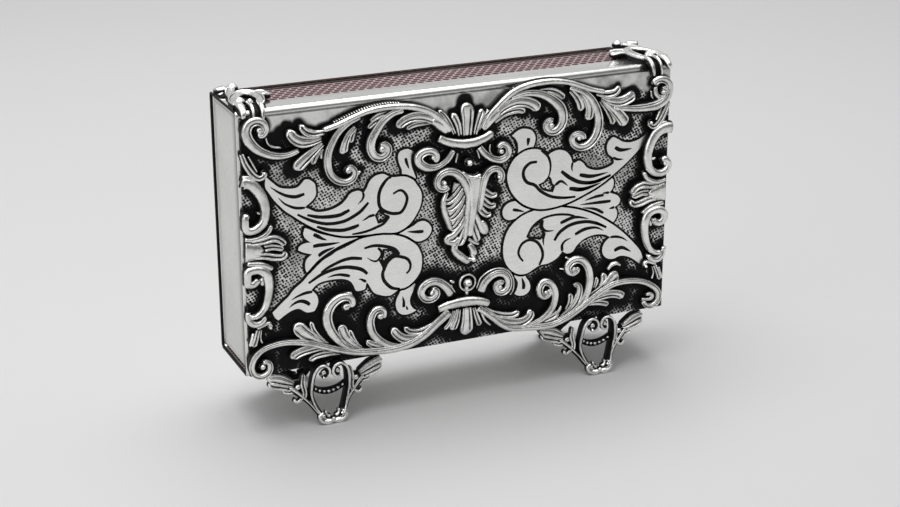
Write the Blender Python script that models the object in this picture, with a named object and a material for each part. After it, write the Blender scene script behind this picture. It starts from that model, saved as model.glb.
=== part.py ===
# Silver matchbox case on four scroll feet, with a household matchbox inside it.
# Metres, +Z up. X runs along the case, -Y is the front that faces the viewer and Z = 0 is the
# surface that the feet stand on. The origin is below the middle of the case.
#
# The card matchbox stands on its long narrow side. It slides out of either open end of the
# silver case, and its tray slides out of the card sleeve the same way.

import math

import bmesh
import bpy
from mathutils import Matrix, Vector

# Silver case
CASE_WIDTH = 0.113
CASE_HEIGHT = 0.0657
CASE_DEPTH = 0.0206
SHEET = 0.0006
EDGE_RADIUS = 0.0012
SEAT_GAP = 0.0003
CUT_OVERRUN = 0.002

# Window over the striking strip, as the metal left round it
WINDOW_END_RIM = 0.0065
WINDOW_FRONT_RIM = 0.0065
WINDOW_BACK_RIM = 0.0011

# Face plate, soldered to the front
PLATE_THICKNESS = 0.0008
PLATE_SIDE_RIM = 0.0005
PLATE_TOP_RIM = 0.0016
PLATE_FOOT_RIM = 0.0006

# Height of each casting above its plate
FRIEZE_RELIEF = 0.0022
BORDER_RELIEF = 0.0026
DROP_RELIEF = 0.0034
MOUNT_RELIEF = 0.0017

# Feet
FOOT_HEIGHT = 0.0138
FOOT_OFFSET = 0.0365
FOOT_HALF_SPREAD = 0.014
FOOT_REACH = 0.0041
FOOT_BAR = 0.0013
WING_DEPTH = 0.0024
TOE_LENGTH = 0.0064
TOE_DEPTH = 0.0018
TOE_HEIGHT = 0.0011

# Card matchbox
CARD = 0.0005
CARD_RECESS = 0.0008
STRIKER = 0.0002
STRIKER_SIDE_RIM = 0.0012

# Matches
MATCH_LENGTH = 0.094
MATCH_STICK = 0.0028
MATCH_HEAD = 0.0046
MATCH_HEAD_LENGTH = 0.0075
MATCH_COLUMNS = 3
MATCH_LAYERS = 3
MATCH_SIDES = 8
# Rings of a match head: place along the head and radius, both as shares.
HEAD_SHARES = [(0, 0.66), (0.25, 0.86), (0.55, 1), (0.8, 0.9), (0.95, 0.6), (1, 0.3)]

# Two faces that meet at a wider turn than this show a crisp edge.
SHARP_TURN = math.radians(35)

# Cross-sections of a stroke: places across it as shares of its width and out from its back as
# shares of its height. A tall stroke has the flat-topped section, a low one the leaf's ridge.
LEAF_SECTION_SHARES = [(-0.5, 0), (0, 1), (0.5, 0)]
BAR_SECTION_SHARES = [(-0.5, 0), (-0.25, 1), (0.25, 1), (0.5, 0)]
TALL_STROKE_SHARE = 0.85
# A stroke's height at its start, middle and end.
STROKE_RISE_SHARES = (0.7, 1, 0.7)
PEARL_SIDES = 8
PEARL_SHOULDER_SHARE = 0.72

# The castings are drawn on squared paper that covers the right half of the face: 56.5 squares
# out from the middle to the end of the case, and 65.7 squares up from its foot.
SQUARES_OUT_SHARE = 56.5
SQUARES_UP_SHARE = 65.7
# Strokes are drawn as their upper faces, and their feet on the plate are wider by this.
STROKE_SPREAD_SHARE = 1.2

# Each stroke is its line, its width in squares at the start, middle and end, and its height as
# a share of the casting's relief.
UPPER_SCROLL_SHARES = [
    ([(8.8, 58.3), (11.2, 58.4), (13.4, 58.3), (15, 57.8), (15.7, 57.3)], (0.8, 1.2, 1), 0.64),
    ([(6.8, 57.3), (9.2, 59.1), (11.8, 60.1), (14.4, 60.2), (16.6, 59.4), (18.1, 58.1)],
      (1.6, 2.2, 2.1), 0.82),
    ([(20.4, 62), (22.8, 61.5), (24.8, 60.5)], (0.9, 1.4, 0.9), 0.77),
    ([(34.6, 59.6), (37.4, 57.8), (39.8, 57.3), (42, 57.7), (44, 59), (44.9, 60.8)],
      (1.1, 2.5, 2.1), 0.91),
    ([(36.4, 59.2), (39, 59.1), (41, 60), (42.2, 61.6)], (1, 1.9, 1.3), 0.86),
    ([(35.2, 58.4), (36.9, 56.4), (38.5, 55.3), (40.3, 54), (42.2, 52.5), (43.8, 51)],
      (1, 2.3, 2.7), 0.82),
    ([(37.2, 55.2), (38.6, 53.6), (39.5, 51.7)], (0.8, 1.3, 1.2), 0.64),
    ([(27.4, 61.2), (28.8, 59.4), (30.2, 57.9), (31.2, 56), (31.7, 54), (31.7, 53.2)],
      (1, 1.5, 2.1), 0.77),
    ([(28.7, 58.9), (29.5, 57.1), (29.8, 55.7)], (0.8, 1.2, 1.2), 0.64),
    ([(4.2, 55.8), (6.2, 58.3), (9.2, 60.8), (12.8, 62.4), (16.8, 63.2), (21.2, 63.4), (25.2, 63),
      (29, 61.9), (32.8, 60.6), (36.4, 59.7)], (1.6, 1.3, 1.1), 1),
    ([(3.4, 53.6), (6.8, 57.4), (9.2, 59.1)], (2.2, 2.6, 1.6), 0.91),
    ([(16.7, 62.2), (19.3, 61.7), (21.7, 60.2), (23.5, 58), (24.8, 55.8), (25, 53.7), (24, 51.9),
      (22.3, 51.4), (20.9, 52.2), (20.6, 53.6), (21.5, 54.6), (22.7, 54.3)],
      (1.4, 2.2, 1.2), 0.95),
    ([(27.2, 61.8), (30, 60.7), (32.4, 58.9), (34, 56.7), (35.1, 54.2), (35.4, 51.6), (34.8, 49),
      (33.1, 47.2), (31, 46.6), (29.3, 47.3), (28.8, 48.7), (29.5, 50), (30.7, 50)],
      (1.1, 1.9, 1.1), 1),
    ([(37.4, 57.6), (40.6, 56.2), (44.4, 55), (47.4, 54.9), (50, 55.5), (52.5, 56.8),
      (54.2, 58.6), (54.6, 60.4), (53.8, 61.6), (52.2, 62), (50.6, 61.3),
      (50.2, 59.9), (51, 58.9), (52.3, 59.2)], (1.1, 2.2, 1.2), 1),
    ([(2.2, 51.6), (4, 48.7), (6.6, 47.5), (9.2, 47.5), (11.2, 48.5), (11.8, 50.1), (10.6, 51.3),
      (8.7, 51.5), (7.3, 50.6), (7.1, 49.3), (8, 48.8)], (1.2, 2, 1.4), 1),
    ([(1.7, 52.6), (2.4, 56.4), (3.8, 59.9)], (0.9, 1.3, 1.6), 0.77),
    ([(2.8, 52.8), (4.4, 57), (6, 59.8), (7.4, 60.9)], (0.8, 0.9, 0.8), 0.73),
]
UPPER_CENTRE_SHARES = [
    ([(-7.1, 54.2), (-4.6, 53.1), (-2.2, 52.3), (0, 52.1), (2.2, 52.3), (4.6, 53.1), (7.1, 54.2)],
      (1.7, 2.3, 1.7), 1),
    ([(0, 52.4), (0, 57.4), (0, 62)], (1.9, 2.8, 3.4), 0.9),
]
UPPER_EYE_SHARES = [(22.1, 53.4, 1.15), (30.4, 49.3, 1.15), (51.8, 60.1, 1.2), (8, 49.7, 0.95)]

LOWER_SCROLL_SHARES = [
    ([(5.8, 8.2), (8.8, 6.3), (11.8, 5.4), (14.2, 5.8), (15.9, 7.1)], (1.1, 1.7, 1.2), 0.77),
    ([(9.2, 5), (12.3, 4.1), (15.3, 4.1), (17.6, 5.5), (19, 7.5)], (1, 2.2, 1.9), 0.82),
    ([(18.8, 2.3), (21.8, 2.9), (24.2, 4), (25.8, 5.2)], (1, 2.2, 1.2), 0.73),
    ([(27.2, 3.5), (29.6, 5.3), (31.4, 7.7), (32.2, 10.6)], (1.2, 2.3, 2.3), 0.82),
    ([(27.8, 4.2), (29.3, 6.4), (30.1, 8.8)], (0.8, 1.3, 1.1), 0.68),
    ([(35.8, 6), (38.8, 7.8), (41.6, 10.1), (43.8, 12.6)], (1.2, 2.8, 3.2), 0.82),
    ([(36, 6.2), (38.2, 8.6), (39.4, 10.7), (39.9, 12.6)], (0.9, 1.2, 1), 0.73),
    ([(34.8, 5), (37.8, 5.8), (41.3, 5.7), (43.8, 5), (45.1, 3.9)], (1, 2, 2.2), 0.82),
    ([(32.8, 3.3), (35.8, 3.7), (38.8, 3.5), (40.7, 2.7)], (0.8, 1.4, 1.3), 0.73),
    ([(3.9, 9.3), (7.3, 6.8), (10.3, 4.5), (13.6, 2.9), (17.1, 2.2), (20.6, 2.1), (24.6, 2.4),
      (28.6, 3), (32.5, 4.1), (36.5, 5.7), (40.5, 7.3), (44.5, 8.3), (48.3, 8.5), (51.9, 7.8),
      (54.2, 6), (55.1, 3.7), (54.6, 1.8), (53, 0.9), (51.3, 1.4), (50.6, 2.9), (51.1, 4.3),
      (52.5, 4.5)], (2.2, 1.5, 1.2), 1),
    ([(17.4, 2.4), (20, 3.4), (22.4, 5.1), (24.1, 7.2), (24.7, 9.5), (24.4, 11.6), (23.2, 13.1),
      (21.6, 13.1), (20.9, 11.8), (21.5, 10.6)], (1.4, 1.9, 1.1), 0.95),
    ([(26.2, 2.9), (29.6, 4.1), (32.2, 6.1), (34.2, 8.7), (35.4, 11.4), (35.5, 14.1), (34.2, 16.5),
      (31.9, 17.8), (29.8, 17.5), (29, 16.1), (29.7, 14.8)], (1.2, 2.2, 1.5), 1),
    ([(36.4, 14.4), (35.2, 16.8), (33, 18.1), (30.6, 18.4), (29.1, 18.1)], (0.6, 0.9, 0.8), 0.77),
    ([(2.8, 12.3), (4.7, 15.4), (6.8, 17.5), (9, 18.1), (11, 17.3), (11.8, 15.6), (11, 14.1),
      (9.3, 13.6), (7.8, 14.4), (7.8, 15.8), (9, 16.3)], (2.1, 1.9, 1.1), 1),
    ([(1.9, 9.5), (2.6, 7), (3.8, 4.2)], (1.1, 1.7, 1.9), 0.77),
    ([(3.1, 9.3), (4.2, 6.5), (5.8, 4.7)], (0.7, 0.9, 0.9), 0.64),
]
LOWER_CENTRE_SHARES = [
    ([(-7, 10.5), (-4, 11.3), (0, 11.7), (4, 11.3), (7, 10.5)], (1.7, 2.4, 1.7), 1),
    ([(0, 11.2), (0, 6.5), (0, 2.4)], (2, 2.8, 3.4), 0.9),
    ([(0, 11.9), (0, 14.4), (0, 16.5)], (1.2, 1.4, 1.4), 0.45),
]
LOWER_EYE_SHARES = [(22, 11.2, 1.2), (30.7, 15.1, 1.35), (52.5, 3.2, 1), (9.1, 15.2, 0.8)]
LOWER_PEARL_SHARES = [(0, 16.5, 1.8)]

DROP_SCROLL_SHARES = [
    ([(0.5, 34.1), (0.6, 37.5), (0.9, 39.9), (1.5, 41.9), (2.5, 43.4), (3.9, 44.3), (5.7, 44.6),
      (7.3, 43.9), (7.9, 42.6), (7.3, 41.4), (6.1, 41.2)], (1.3, 1.8, 1.2), 0.9),
    ([(0.8, 39.8), (2.4, 39.2), (4.2, 39.6), (5.2, 40.4)], (0.9, 1.3, 0.8), 0.6),
    ([(3.6, 39.6), (5.6, 38.4), (5.9, 36.4), (5.2, 34.8)], (1, 1.7, 1.1), 0.7),
    ([(0.3, 36.8), (1.2, 34.8), (2.6, 33.8), (4.2, 33.6)], (0.9, 1.3, 0.8), 0.6),
    ([(0.3, 33.4), (1.9, 31.4), (3.7, 30.6), (5.3, 29.4), (5.1, 28.2), (3.5, 27.9)],
      (1, 1.4, 1), 0.65),
    ([(0.2, 30.7), (1.3, 28.3), (2.5, 26.3)], (1, 1.5, 1.6), 0.7),
]
DROP_CENTRE_SHARES = [
    ([(-1.8, 45.2), (0, 43.9), (1.8, 45.2)], (0.8, 1.3, 0.8), 0.8),
    ([(0, 47), (0, 45.4), (0, 43.4)], (1.2, 1.3, 1.3), 0.5),
    ([(0, 43.8), (0, 41), (0, 38), (0, 34), (0, 30.5), (0, 27)], (3, 1.5, 1.2), 1),
    ([(0, 27), (0, 24.4), (0, 21.9)], (1.5, 2.6, 1.7), 0.7),
]
DROP_PEARL_SHARES = [(0, 47.4, 1.2), (0, 24.9, 2.1), (6.2, 42.7, 1), (-6.2, 42.7, 1)]

BORDER_SCROLL_SHARES = [
    ([(55.8, 56.3), (54.7, 53.7), (53.3, 51.4), (51.8, 50.2), (50.5, 50.7), (50.4, 51.7)],
      (0.9, 1.3, 1), 0.69),
    ([(56.6, 49.3), (55.2, 49.5), (53.4, 48.9), (51.8, 47.2), (50.7, 44.8), (50.3, 42.2),
      (50.9, 39.6), (52.6, 38.1), (54.7, 37.9), (55.9, 39), (55.9, 40.5), (55.2, 41.4),
      (54, 41.2)], (2.5, 1.9, 1.4), 1),
    ([(55.6, 50.7), (53.8, 50.7), (52.4, 49.6)], (0.8, 1, 0.8), 0.85),
    ([(55.6, 35.7), (53.2, 35.5), (51.3, 36), (49.8, 37.2), (49.2, 38.7)], (0.8, 1.3, 1), 0.77),
    ([(55.2, 29.6), (52.6, 29.3), (50.6, 28.6), (49, 27.5)], (1, 1.4, 1), 0.77),
    ([(55.8, 32.6), (53.2, 32.5), (50.8, 32.4)], (4.4, 3.6, 2.6), 0.85),
    ([(53.8, 34.7), (51.2, 34.9), (49, 35.3), (47.1, 34.7), (45.7, 33.2)], (1, 1.6, 1.2), 0.92),
    ([(53.2, 31.3), (50.8, 31.2), (48.4, 30.6), (46.5, 30.5), (45.7, 31.7)],
      (1.2, 1.6, 1.2), 0.92),
    ([(50.8, 32.9), (49, 33.1), (47.4, 32.7), (46.1, 32.3)], (1.6, 1.3, 1.2), 0.85),
    ([(52.6, 25.4), (53.8, 24.4), (55.4, 24.8), (55.9, 26.3), (55, 27.7), (53, 28.1), (51.1, 27.3),
      (50.2, 25.4), (50.1, 22.8), (50.6, 20.2), (51.6, 18), (53.2, 16.6), (55.2, 16.4)],
      (1.6, 2, 1), 1),
    ([(56, 17.5), (55.6, 15.7), (54.2, 14.5), (52.5, 14.7), (51.2, 16.2)], (1.1, 1.5, 1), 0.85),
    ([(53.6, 13.1), (52.2, 13.7), (51, 14.2), (50.3, 13.5), (50.4, 12.6)], (0.8, 1, 0.9), 0.65),
    ([(53.4, 12.7), (54.1, 10.8), (54.9, 8.6)], (0.9, 1, 1.2), 0.65),
    ([(55.4, 38.6), (55.5, 36.6), (55.4, 34.4)], (1, 1.3, 1), 0.6),
    ([(55.4, 30.4), (55.3, 28.4), (54.6, 27)], (1, 1.3, 1), 0.6),
]
BORDER_PEARL_SHARES = [(55.3, 40.3, 0.9), (50.5, 51.4, 0.75), (50.5, 13.1, 0.7), (52.1, 25.6, 0.7)]

# Corner mounts, seen from above: squares out from the middle, squares back from the front of
# the case and width. They lie on the closed ends of the case's top.
MOUNT_TOP_SHARES = [
    ([(54.4, 2.6), (54.8, 7), (54.4, 12), (53.2, 16), (51.4, 18.8), (49.6, 18.4)],
     (3, 2.8, 1.2), 0.9),
    ([(54.2, 4), (51.4, 5.4), (48.4, 7.6), (45.2, 10)], (2.2, 2.6, 1.2), 0.7),
    ([(53.4, 15.4), (50.6, 16), (47.8, 16.4)], (1.8, 2, 1), 0.75),
]
# The mount's flutes come over the front edge: squares out at the front, squares out on top.
MOUNT_FLUTE_SHARES = [(50.7, 52), (52.8, 53.2), (54.9, 54.6)]
MOUNT_FLUTE_WIDTH_SHARES = (1.6, 2.5, 2.4)
# A flute starts on the plate, this far below the case's top, and ends this far back on it.
MOUNT_DROP = 0.0023
MOUNT_RUN = 0.0044

# A foot is drawn round its own middle: 14 squares out to each wing tip and 13.8 down to the
# floor from the foot of the case.
FOOT_OUT_SHARE = 14
FOOT_DOWN_SHARE = 13.8
FOOT_SCROLL_SHARES = [
    ([(0.9, -13), (3.2, -10.4), (4.9, -7), (5.1, -3.6), (4.2, -1), (2.4, -0.2), (1.2, -1.3),
      (1.8, -2.6)], (1.4, 1.5, 1.1)),
]
FOOT_WING_SHARES = [([(14, -1.1), (11.4, -1.8), (8.4, -2.2), (4.6, -1.8)], (1.2, 3.4, 2.4))]
FOOT_LEG_SHARES = [
    ([(10.4, -2.6), (7.6, -5.6), (5.2, -8.6), (3, -11.4), (1.2, -13)], (2, 1.4, 1.4)),
]
FOOT_CURL_SHARES = [([(6.4, -7), (7.7, -7.9), (8.4, -7)], (0.9, 1.1, 0.8))]
FOOT_NECKLACE_SHARES = ([(-4.6, -4.2), (-2.4, -5.8), (0, -6.3), (2.4, -5.8), (4.6, -4.2)],
                        (1, 1.5, 1))
# The foot's side view: squares up or down, and how far forward it stands as a share of the
# toe's reach. The loop's knee comes forward, its middle lies back and its toe is furthest out.
FOOT_SIDE_SHARES = [(0.6, 0.66), (-3, 0.62), (-7, 0.3), (-10.4, 0.5), (-13.8, 1)]
WING_SIDE_SHARES = [(0.6, -0.46), (-4, -0.46)]
LEG_SIDE_SHARES = [(0.6, -0.2), (-3, -0.15), (-7, 0.05), (-10.4, 0.42), (-13.8, 1)]

# Worked out from the sizes above
HALF_WIDTH = CASE_WIDTH / 2
HALF_DEPTH = CASE_DEPTH / 2
CASE_FOOT = FOOT_HEIGHT
CASE_TOP = FOOT_HEIGHT + CASE_HEIGHT
SQUARE_OUT = HALF_WIDTH / SQUARES_OUT_SHARE
SQUARE_UP = CASE_HEIGHT / SQUARES_UP_SHARE
PLATE_BACK = HALF_DEPTH + SEAT_GAP
PLATE_FACE = PLATE_BACK + PLATE_THICKNESS
CASTING_BACK = PLATE_FACE + SEAT_GAP
CARD_DEPTH = CASE_DEPTH - 2 * (SHEET + SEAT_GAP)
CARD_HEIGHT = CASE_HEIGHT - 2 * (SHEET + STRIKER + 2 * SEAT_GAP)
CARD_WIDTH = CASE_WIDTH - 2 * CARD_RECESS
CARD_FOOT = CASE_FOOT + SHEET + STRIKER + 2 * SEAT_GAP
TRAY_DEPTH = CARD_DEPTH - 2 * (CARD + SEAT_GAP)
TRAY_HEIGHT = CARD_HEIGHT - 2 * (CARD + SEAT_GAP)
TRAY_FOOT = CARD_FOOT + CARD + SEAT_GAP
MATCH_PITCH = (MATCH_HEAD + MATCH_STICK) / 2 + 2 * SEAT_GAP
FRONT = Vector((0, -1, 0))
UP = Vector((0, 0, 1))
HANDS = {"left": -1, "right": 1}
# A stroke with fewer points than this is drawn loosely, and gets twice as many steps.
LOOSE_POINTS = 5


def clear_scene():
    for old in list(bpy.data.objects):
        bpy.data.objects.remove(old, do_unlink=True)


def make_material(name, colour, roughness, metallic):
    material = bpy.data.materials.new(name)
    material.use_nodes = True
    surface = material.node_tree.nodes["Principled BSDF"]
    surface.inputs["Base Color"].default_value = (*colour, 1)
    surface.inputs["Roughness"].default_value = roughness
    surface.inputs["Metallic"].default_value = metallic
    material.diffuse_color = (*colour, 1)
    return material


def place(name, shape, *materials):
    """Turn a bmesh into a named object that is shaded smooth except along sharp edges."""
    mesh = bpy.data.meshes.new(name)
    shape.to_mesh(mesh)
    shape.free()
    for material in materials:
        mesh.materials.append(material)
    mesh.shade_smooth()
    mesh.set_sharp_from_angle(angle=SHARP_TURN)
    thing = bpy.data.objects.new(name, mesh)
    bpy.context.scene.collection.objects.link(thing)
    return thing


def block(low, high):
    """A box between two corners."""
    shape = bmesh.new()
    bmesh.ops.create_cube(shape, size=1)
    for vertex in shape.verts:
        vertex.co = Vector(
            (high if share > 0 else low)[axis] for axis, share in enumerate(vertex.co)
        )
    return shape


def drop_faces(shape, direction):
    """Open a box on the side that faces one way."""
    open_side = [face for face in shape.faces if face.normal.angle(direction) < SHARP_TURN]
    bmesh.ops.delete(shape, geom=open_side, context="FACES_ONLY")


def add_wall(thing, thickness):
    """Give an open shell its sheet thickness, inwards."""
    wall = thing.modifiers.new("wall", "SOLIDIFY")
    wall.thickness = thickness
    wall.offset = -1
    wall.use_even_offset = True


def smooth_line(points, steps):
    """Catmull-Rom curve through the given points, with the given number of steps per span."""
    line = []
    ends = [2 * points[0] - points[1]] + points + [2 * points[-1] - points[-2]]
    for before, start, end, after in zip(ends, ends[1:], ends[2:], ends[3:]):
        for step in range(steps):
            t = step / steps
            line.append(0.5 * (
                2 * start
                + (end - before) * t
                + (2 * before - 5 * start + 4 * end - after) * t ** 2
                + (3 * start - before - 3 * end + after) * t ** 3
            ))
    line.append(points[-1])
    return line


def blend_three(values, t):
    """Straight change from the first value to the middle one, then to the last."""
    start, middle, end = values
    if t < 0.5:
        return start + (middle - start) * 2 * t
    return middle + (end - middle) * (2 * t - 1)


def sweep(line, outward, widths, height, section):
    """A tapered solid stroke along a line, whose back lies on the line."""
    shape = bmesh.new()
    rings = []
    last = len(line) - 1
    for index, point in enumerate(line):
        ahead = line[min(index + 1, last)] - line[max(index - 1, 0)]
        out = outward[index]
        across = ahead.cross(out).normalized()
        out = across.cross(ahead).normalized()
        t = index / last
        width = blend_three(widths, t)
        rise = height * blend_three(STROKE_RISE_SHARES, t)
        rings.append([
            shape.verts.new(point + across * side * width + out * up * rise)
            for side, up in section
        ])
    count = len(section)
    for ring, following in zip(rings, rings[1:]):
        for corner in range(count):
            after = (corner + 1) % count
            shape.faces.new((ring[corner], ring[after], following[after], following[corner]))
    shape.faces.new(list(reversed(rings[0])))
    shape.faces.new(rings[-1])
    bmesh.ops.recalc_face_normals(shape, faces=shape.faces)
    return shape


def pearl(centre, outward, radius, height):
    """A low round boss that stands on its back face."""
    shape = bmesh.new()
    across = outward.orthogonal().normalized()
    along = outward.cross(across).normalized()

    def ring(size, rise):
        return [
            shape.verts.new(
                centre + outward * rise
                + (across * math.cos(turn) + along * math.sin(turn)) * size
            )
            for turn in (2 * math.pi * side / PEARL_SIDES for side in range(PEARL_SIDES))
        ]

    base = ring(radius, 0)
    shoulder = ring(radius * PEARL_SHOULDER_SHARE, height * PEARL_SHOULDER_SHARE)
    top = shape.verts.new(centre + outward * height)
    for side in range(PEARL_SIDES):
        after = (side + 1) % PEARL_SIDES
        shape.faces.new((base[side], base[after], shoulder[after], shoulder[side]))
        shape.faces.new((shoulder[side], shoulder[after], top))
    shape.faces.new(base)
    bmesh.ops.recalc_face_normals(shape, faces=shape.faces)
    return shape


def fuse(name, shapes, material):
    """Union overlapping shapes into one closed body."""
    pile = bpy.data.collections.new("pile")
    scrap = []
    for shape in shapes:
        mesh = bpy.data.meshes.new("shape")
        shape.to_mesh(mesh)
        shape.free()
        scrap.append(bpy.data.objects.new("shape", mesh))
    base = scrap[0]
    bpy.context.scene.collection.objects.link(base)
    for piece in scrap[1:]:
        pile.objects.link(piece)
    union = base.modifiers.new("union", "BOOLEAN")
    union.operation = "UNION"
    union.operand_type = "COLLECTION"
    union.collection = pile
    union.use_self = True
    fused = bpy.data.meshes.new_from_object(base.evaluated_get(
        bpy.context.evaluated_depsgraph_get()))
    for piece in scrap:
        bpy.data.objects.remove(piece, do_unlink=True)
    bpy.data.collections.remove(pile)
    shape = bmesh.new()
    shape.from_mesh(fused)
    bpy.data.meshes.remove(fused)
    return place(name, shape, material)


def face_point(out, up):
    """A place on the back of a front casting, from squares."""
    return Vector((out * SQUARE_OUT, -CASTING_BACK, CASE_FOOT + up * SQUARE_UP))


def face_strokes(strokes, relief, hands):
    """Strokes on the plate, drawn for one hand or both: 1 is the right half, -1 the left."""
    shapes = []
    for points, widths, height_share in strokes:
        for hand in hands:
            steps = 2 if len(points) < LOOSE_POINTS else 1
            line = smooth_line([face_point(hand * x, z) for x, z in points], steps)
            sizes = [width * STROKE_SPREAD_SHARE * SQUARE_UP for width in widths]
            tall = height_share > TALL_STROKE_SHARE
            section = BAR_SECTION_SHARES if tall else LEAF_SECTION_SHARES
            shapes.append(sweep(line, [FRONT] * len(line), sizes, relief * height_share, section))
    return shapes


def face_pearls(places, relief, hands):
    return [
        pearl(face_point(hand * x, z), FRONT, radius * SQUARE_UP, relief)
        for x, z, radius in places
        for hand in hands
    ]


def build_case(silver):
    """Tube of thin sheet with round long edges, open at both ends, with the striker window."""
    low = (-HALF_WIDTH, -HALF_DEPTH, CASE_FOOT)
    high = (HALF_WIDTH, HALF_DEPTH, CASE_TOP)
    shape = block(low, high)
    long_edges = [edge for edge in shape.edges
                  if abs((edge.verts[0].co - edge.verts[1].co).x) > HALF_WIDTH]
    bmesh.ops.bevel(shape, geom=long_edges, offset=EDGE_RADIUS, segments=3, profile=0.5,
                    affect="EDGES")
    drop_faces(shape, Vector((1, 0, 0)))
    drop_faces(shape, Vector((-1, 0, 0)))
    case = place("case_sleeve", shape, silver)
    add_wall(case, SHEET)
    window_low = (-HALF_WIDTH + WINDOW_END_RIM, -HALF_DEPTH + WINDOW_FRONT_RIM,
                  CASE_TOP - SHEET - CUT_OVERRUN)
    window_high = (HALF_WIDTH - WINDOW_END_RIM, HALF_DEPTH - WINDOW_BACK_RIM,
                   CASE_TOP + CUT_OVERRUN)
    cutter = place("window_cutter", block(window_low, window_high))
    cutter.hide_render = True
    cutter.display_type = "WIRE"
    window = case.modifiers.new("striker window", "BOOLEAN")
    window.operation = "DIFFERENCE"
    window.object = cutter


def build_plate(silver):
    """Flat sheet on the front of the case that carries the castings and the engraving."""
    place("front_plate", block(
        (-HALF_WIDTH + PLATE_SIDE_RIM, -PLATE_FACE, CASE_FOOT + PLATE_FOOT_RIM),
        (HALF_WIDTH - PLATE_SIDE_RIM, -PLATE_BACK, CASE_TOP - PLATE_TOP_RIM)), silver)


def build_upper_frieze(silver):
    """Two mirrored branches of acanthus scrolls that spring from a clasped plume of leaves."""
    shapes = face_strokes(UPPER_CENTRE_SHARES, FRIEZE_RELIEF, (1,))
    shapes += face_strokes(UPPER_SCROLL_SHARES, FRIEZE_RELIEF, (1, -1))
    shapes += face_pearls(UPPER_EYE_SHARES, FRIEZE_RELIEF, (1, -1))
    fuse("upper_frieze", shapes, silver)


def build_lower_frieze(silver):
    """The lower branches, with their clasp, its hanging fan and the ringed pearl above it."""
    shapes = face_strokes(LOWER_CENTRE_SHARES, FRIEZE_RELIEF, (1,))
    shapes += face_strokes(LOWER_SCROLL_SHARES, FRIEZE_RELIEF, (1, -1))
    shapes += face_pearls(LOWER_EYE_SHARES, FRIEZE_RELIEF, (1, -1))
    shapes += face_pearls(LOWER_PEARL_SHARES, FRIEZE_RELIEF, (1,))
    fuse("lower_frieze", shapes, silver)


def build_drop(silver):
    """Leafy pendant under the upper clasp, the highest relief of the front."""
    shapes = face_strokes(DROP_CENTRE_SHARES, DROP_RELIEF, (1,))
    shapes += face_strokes(DROP_SCROLL_SHARES, DROP_RELIEF, (1, -1))
    shapes += face_pearls(DROP_PEARL_SHARES, DROP_RELIEF, (1,))
    fuse("centre_drop", shapes, silver)


def build_border(end, silver):
    """Upright strip of two C-scrolls with a bud between them, along one end of the front."""
    hand = HANDS[end]
    shapes = face_strokes(BORDER_SCROLL_SHARES, BORDER_RELIEF, (hand,))
    shapes += face_pearls(BORDER_PEARL_SHARES, BORDER_RELIEF, (hand,))
    fuse(end + "_border", shapes, silver)


def end_point(hand, out, y, z):
    """A place near one end of the case, from squares out, that keeps its distance to that end."""
    return Vector((hand * (HALF_WIDTH - (SQUARES_OUT_SHARE - out) * SQUARE_UP), y, z))


def build_mount(end, silver):
    """Shell and leaf casting that runs over one end of the case's top."""
    hand = HANDS[end]
    seat = CASE_TOP + SEAT_GAP
    shapes = []
    for points, widths, height_share in MOUNT_TOP_SHARES:
        line = smooth_line([
            end_point(hand, x, -HALF_DEPTH + y * SQUARE_UP, seat) for x, y in points
        ], 1)
        sizes = [width * SQUARE_UP for width in widths]
        shapes.append(sweep(line, [UP] * len(line), sizes, MOUNT_RELIEF * height_share,
                            BAR_SECTION_SHARES))
    bend = CASE_TOP - PLATE_TOP_RIM + SEAT_GAP
    side_view = [(-CASTING_BACK, CASE_TOP - MOUNT_DROP), (-CASTING_BACK, bend),
                 (-HALF_DEPTH - SEAT_GAP, seat), (-HALF_DEPTH + MOUNT_RUN / 2, seat),
                 (-HALF_DEPTH + MOUNT_RUN, seat)]
    for front_out, top_out in MOUNT_FLUTE_SHARES:
        line = []
        outward = []
        for index, (y, z) in enumerate(side_view):
            t = index / (len(side_view) - 1)
            x = front_out + (top_out - front_out) * t
            line.append(end_point(hand, x, y, z))
            outward.append((FRONT * (1 - t) + UP * t).normalized())
        sizes = [width * SQUARE_UP for width in MOUNT_FLUTE_WIDTH_SHARES]
        shapes.append(sweep(line, outward, sizes, MOUNT_RELIEF, BAR_SECTION_SHARES))
    fuse("top_" + end + "_corner_mount", shapes, silver)


def foot_reach(table, z):
    """How far forward of the case a foot stands at a height, from its side view."""
    for (upper, near), (lower, far) in zip(table, table[1:]):
        if z >= lower:
            t = max(0, (upper - z) / (upper - lower))
            return (near + (far - near) * t) * FOOT_REACH
    return table[-1][1] * FOOT_REACH


def foot_sweep(points, widths, table, depth, hand, middle, side):
    line = smooth_line([
        Vector((
            middle + hand * x * FOOT_HALF_SPREAD / FOOT_OUT_SHARE,
            side * (HALF_DEPTH + foot_reach(table, z)),
            CASE_FOOT + z * FOOT_HEIGHT / FOOT_DOWN_SHARE,
        ))
        for x, z in points
    ], 1)
    out = Vector((0, side, 0))
    sizes = [width * FOOT_HEIGHT / FOOT_DOWN_SHARE for width in widths]
    return sweep(line, [out] * len(line), sizes, depth, BAR_SECTION_SHARES)


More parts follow.
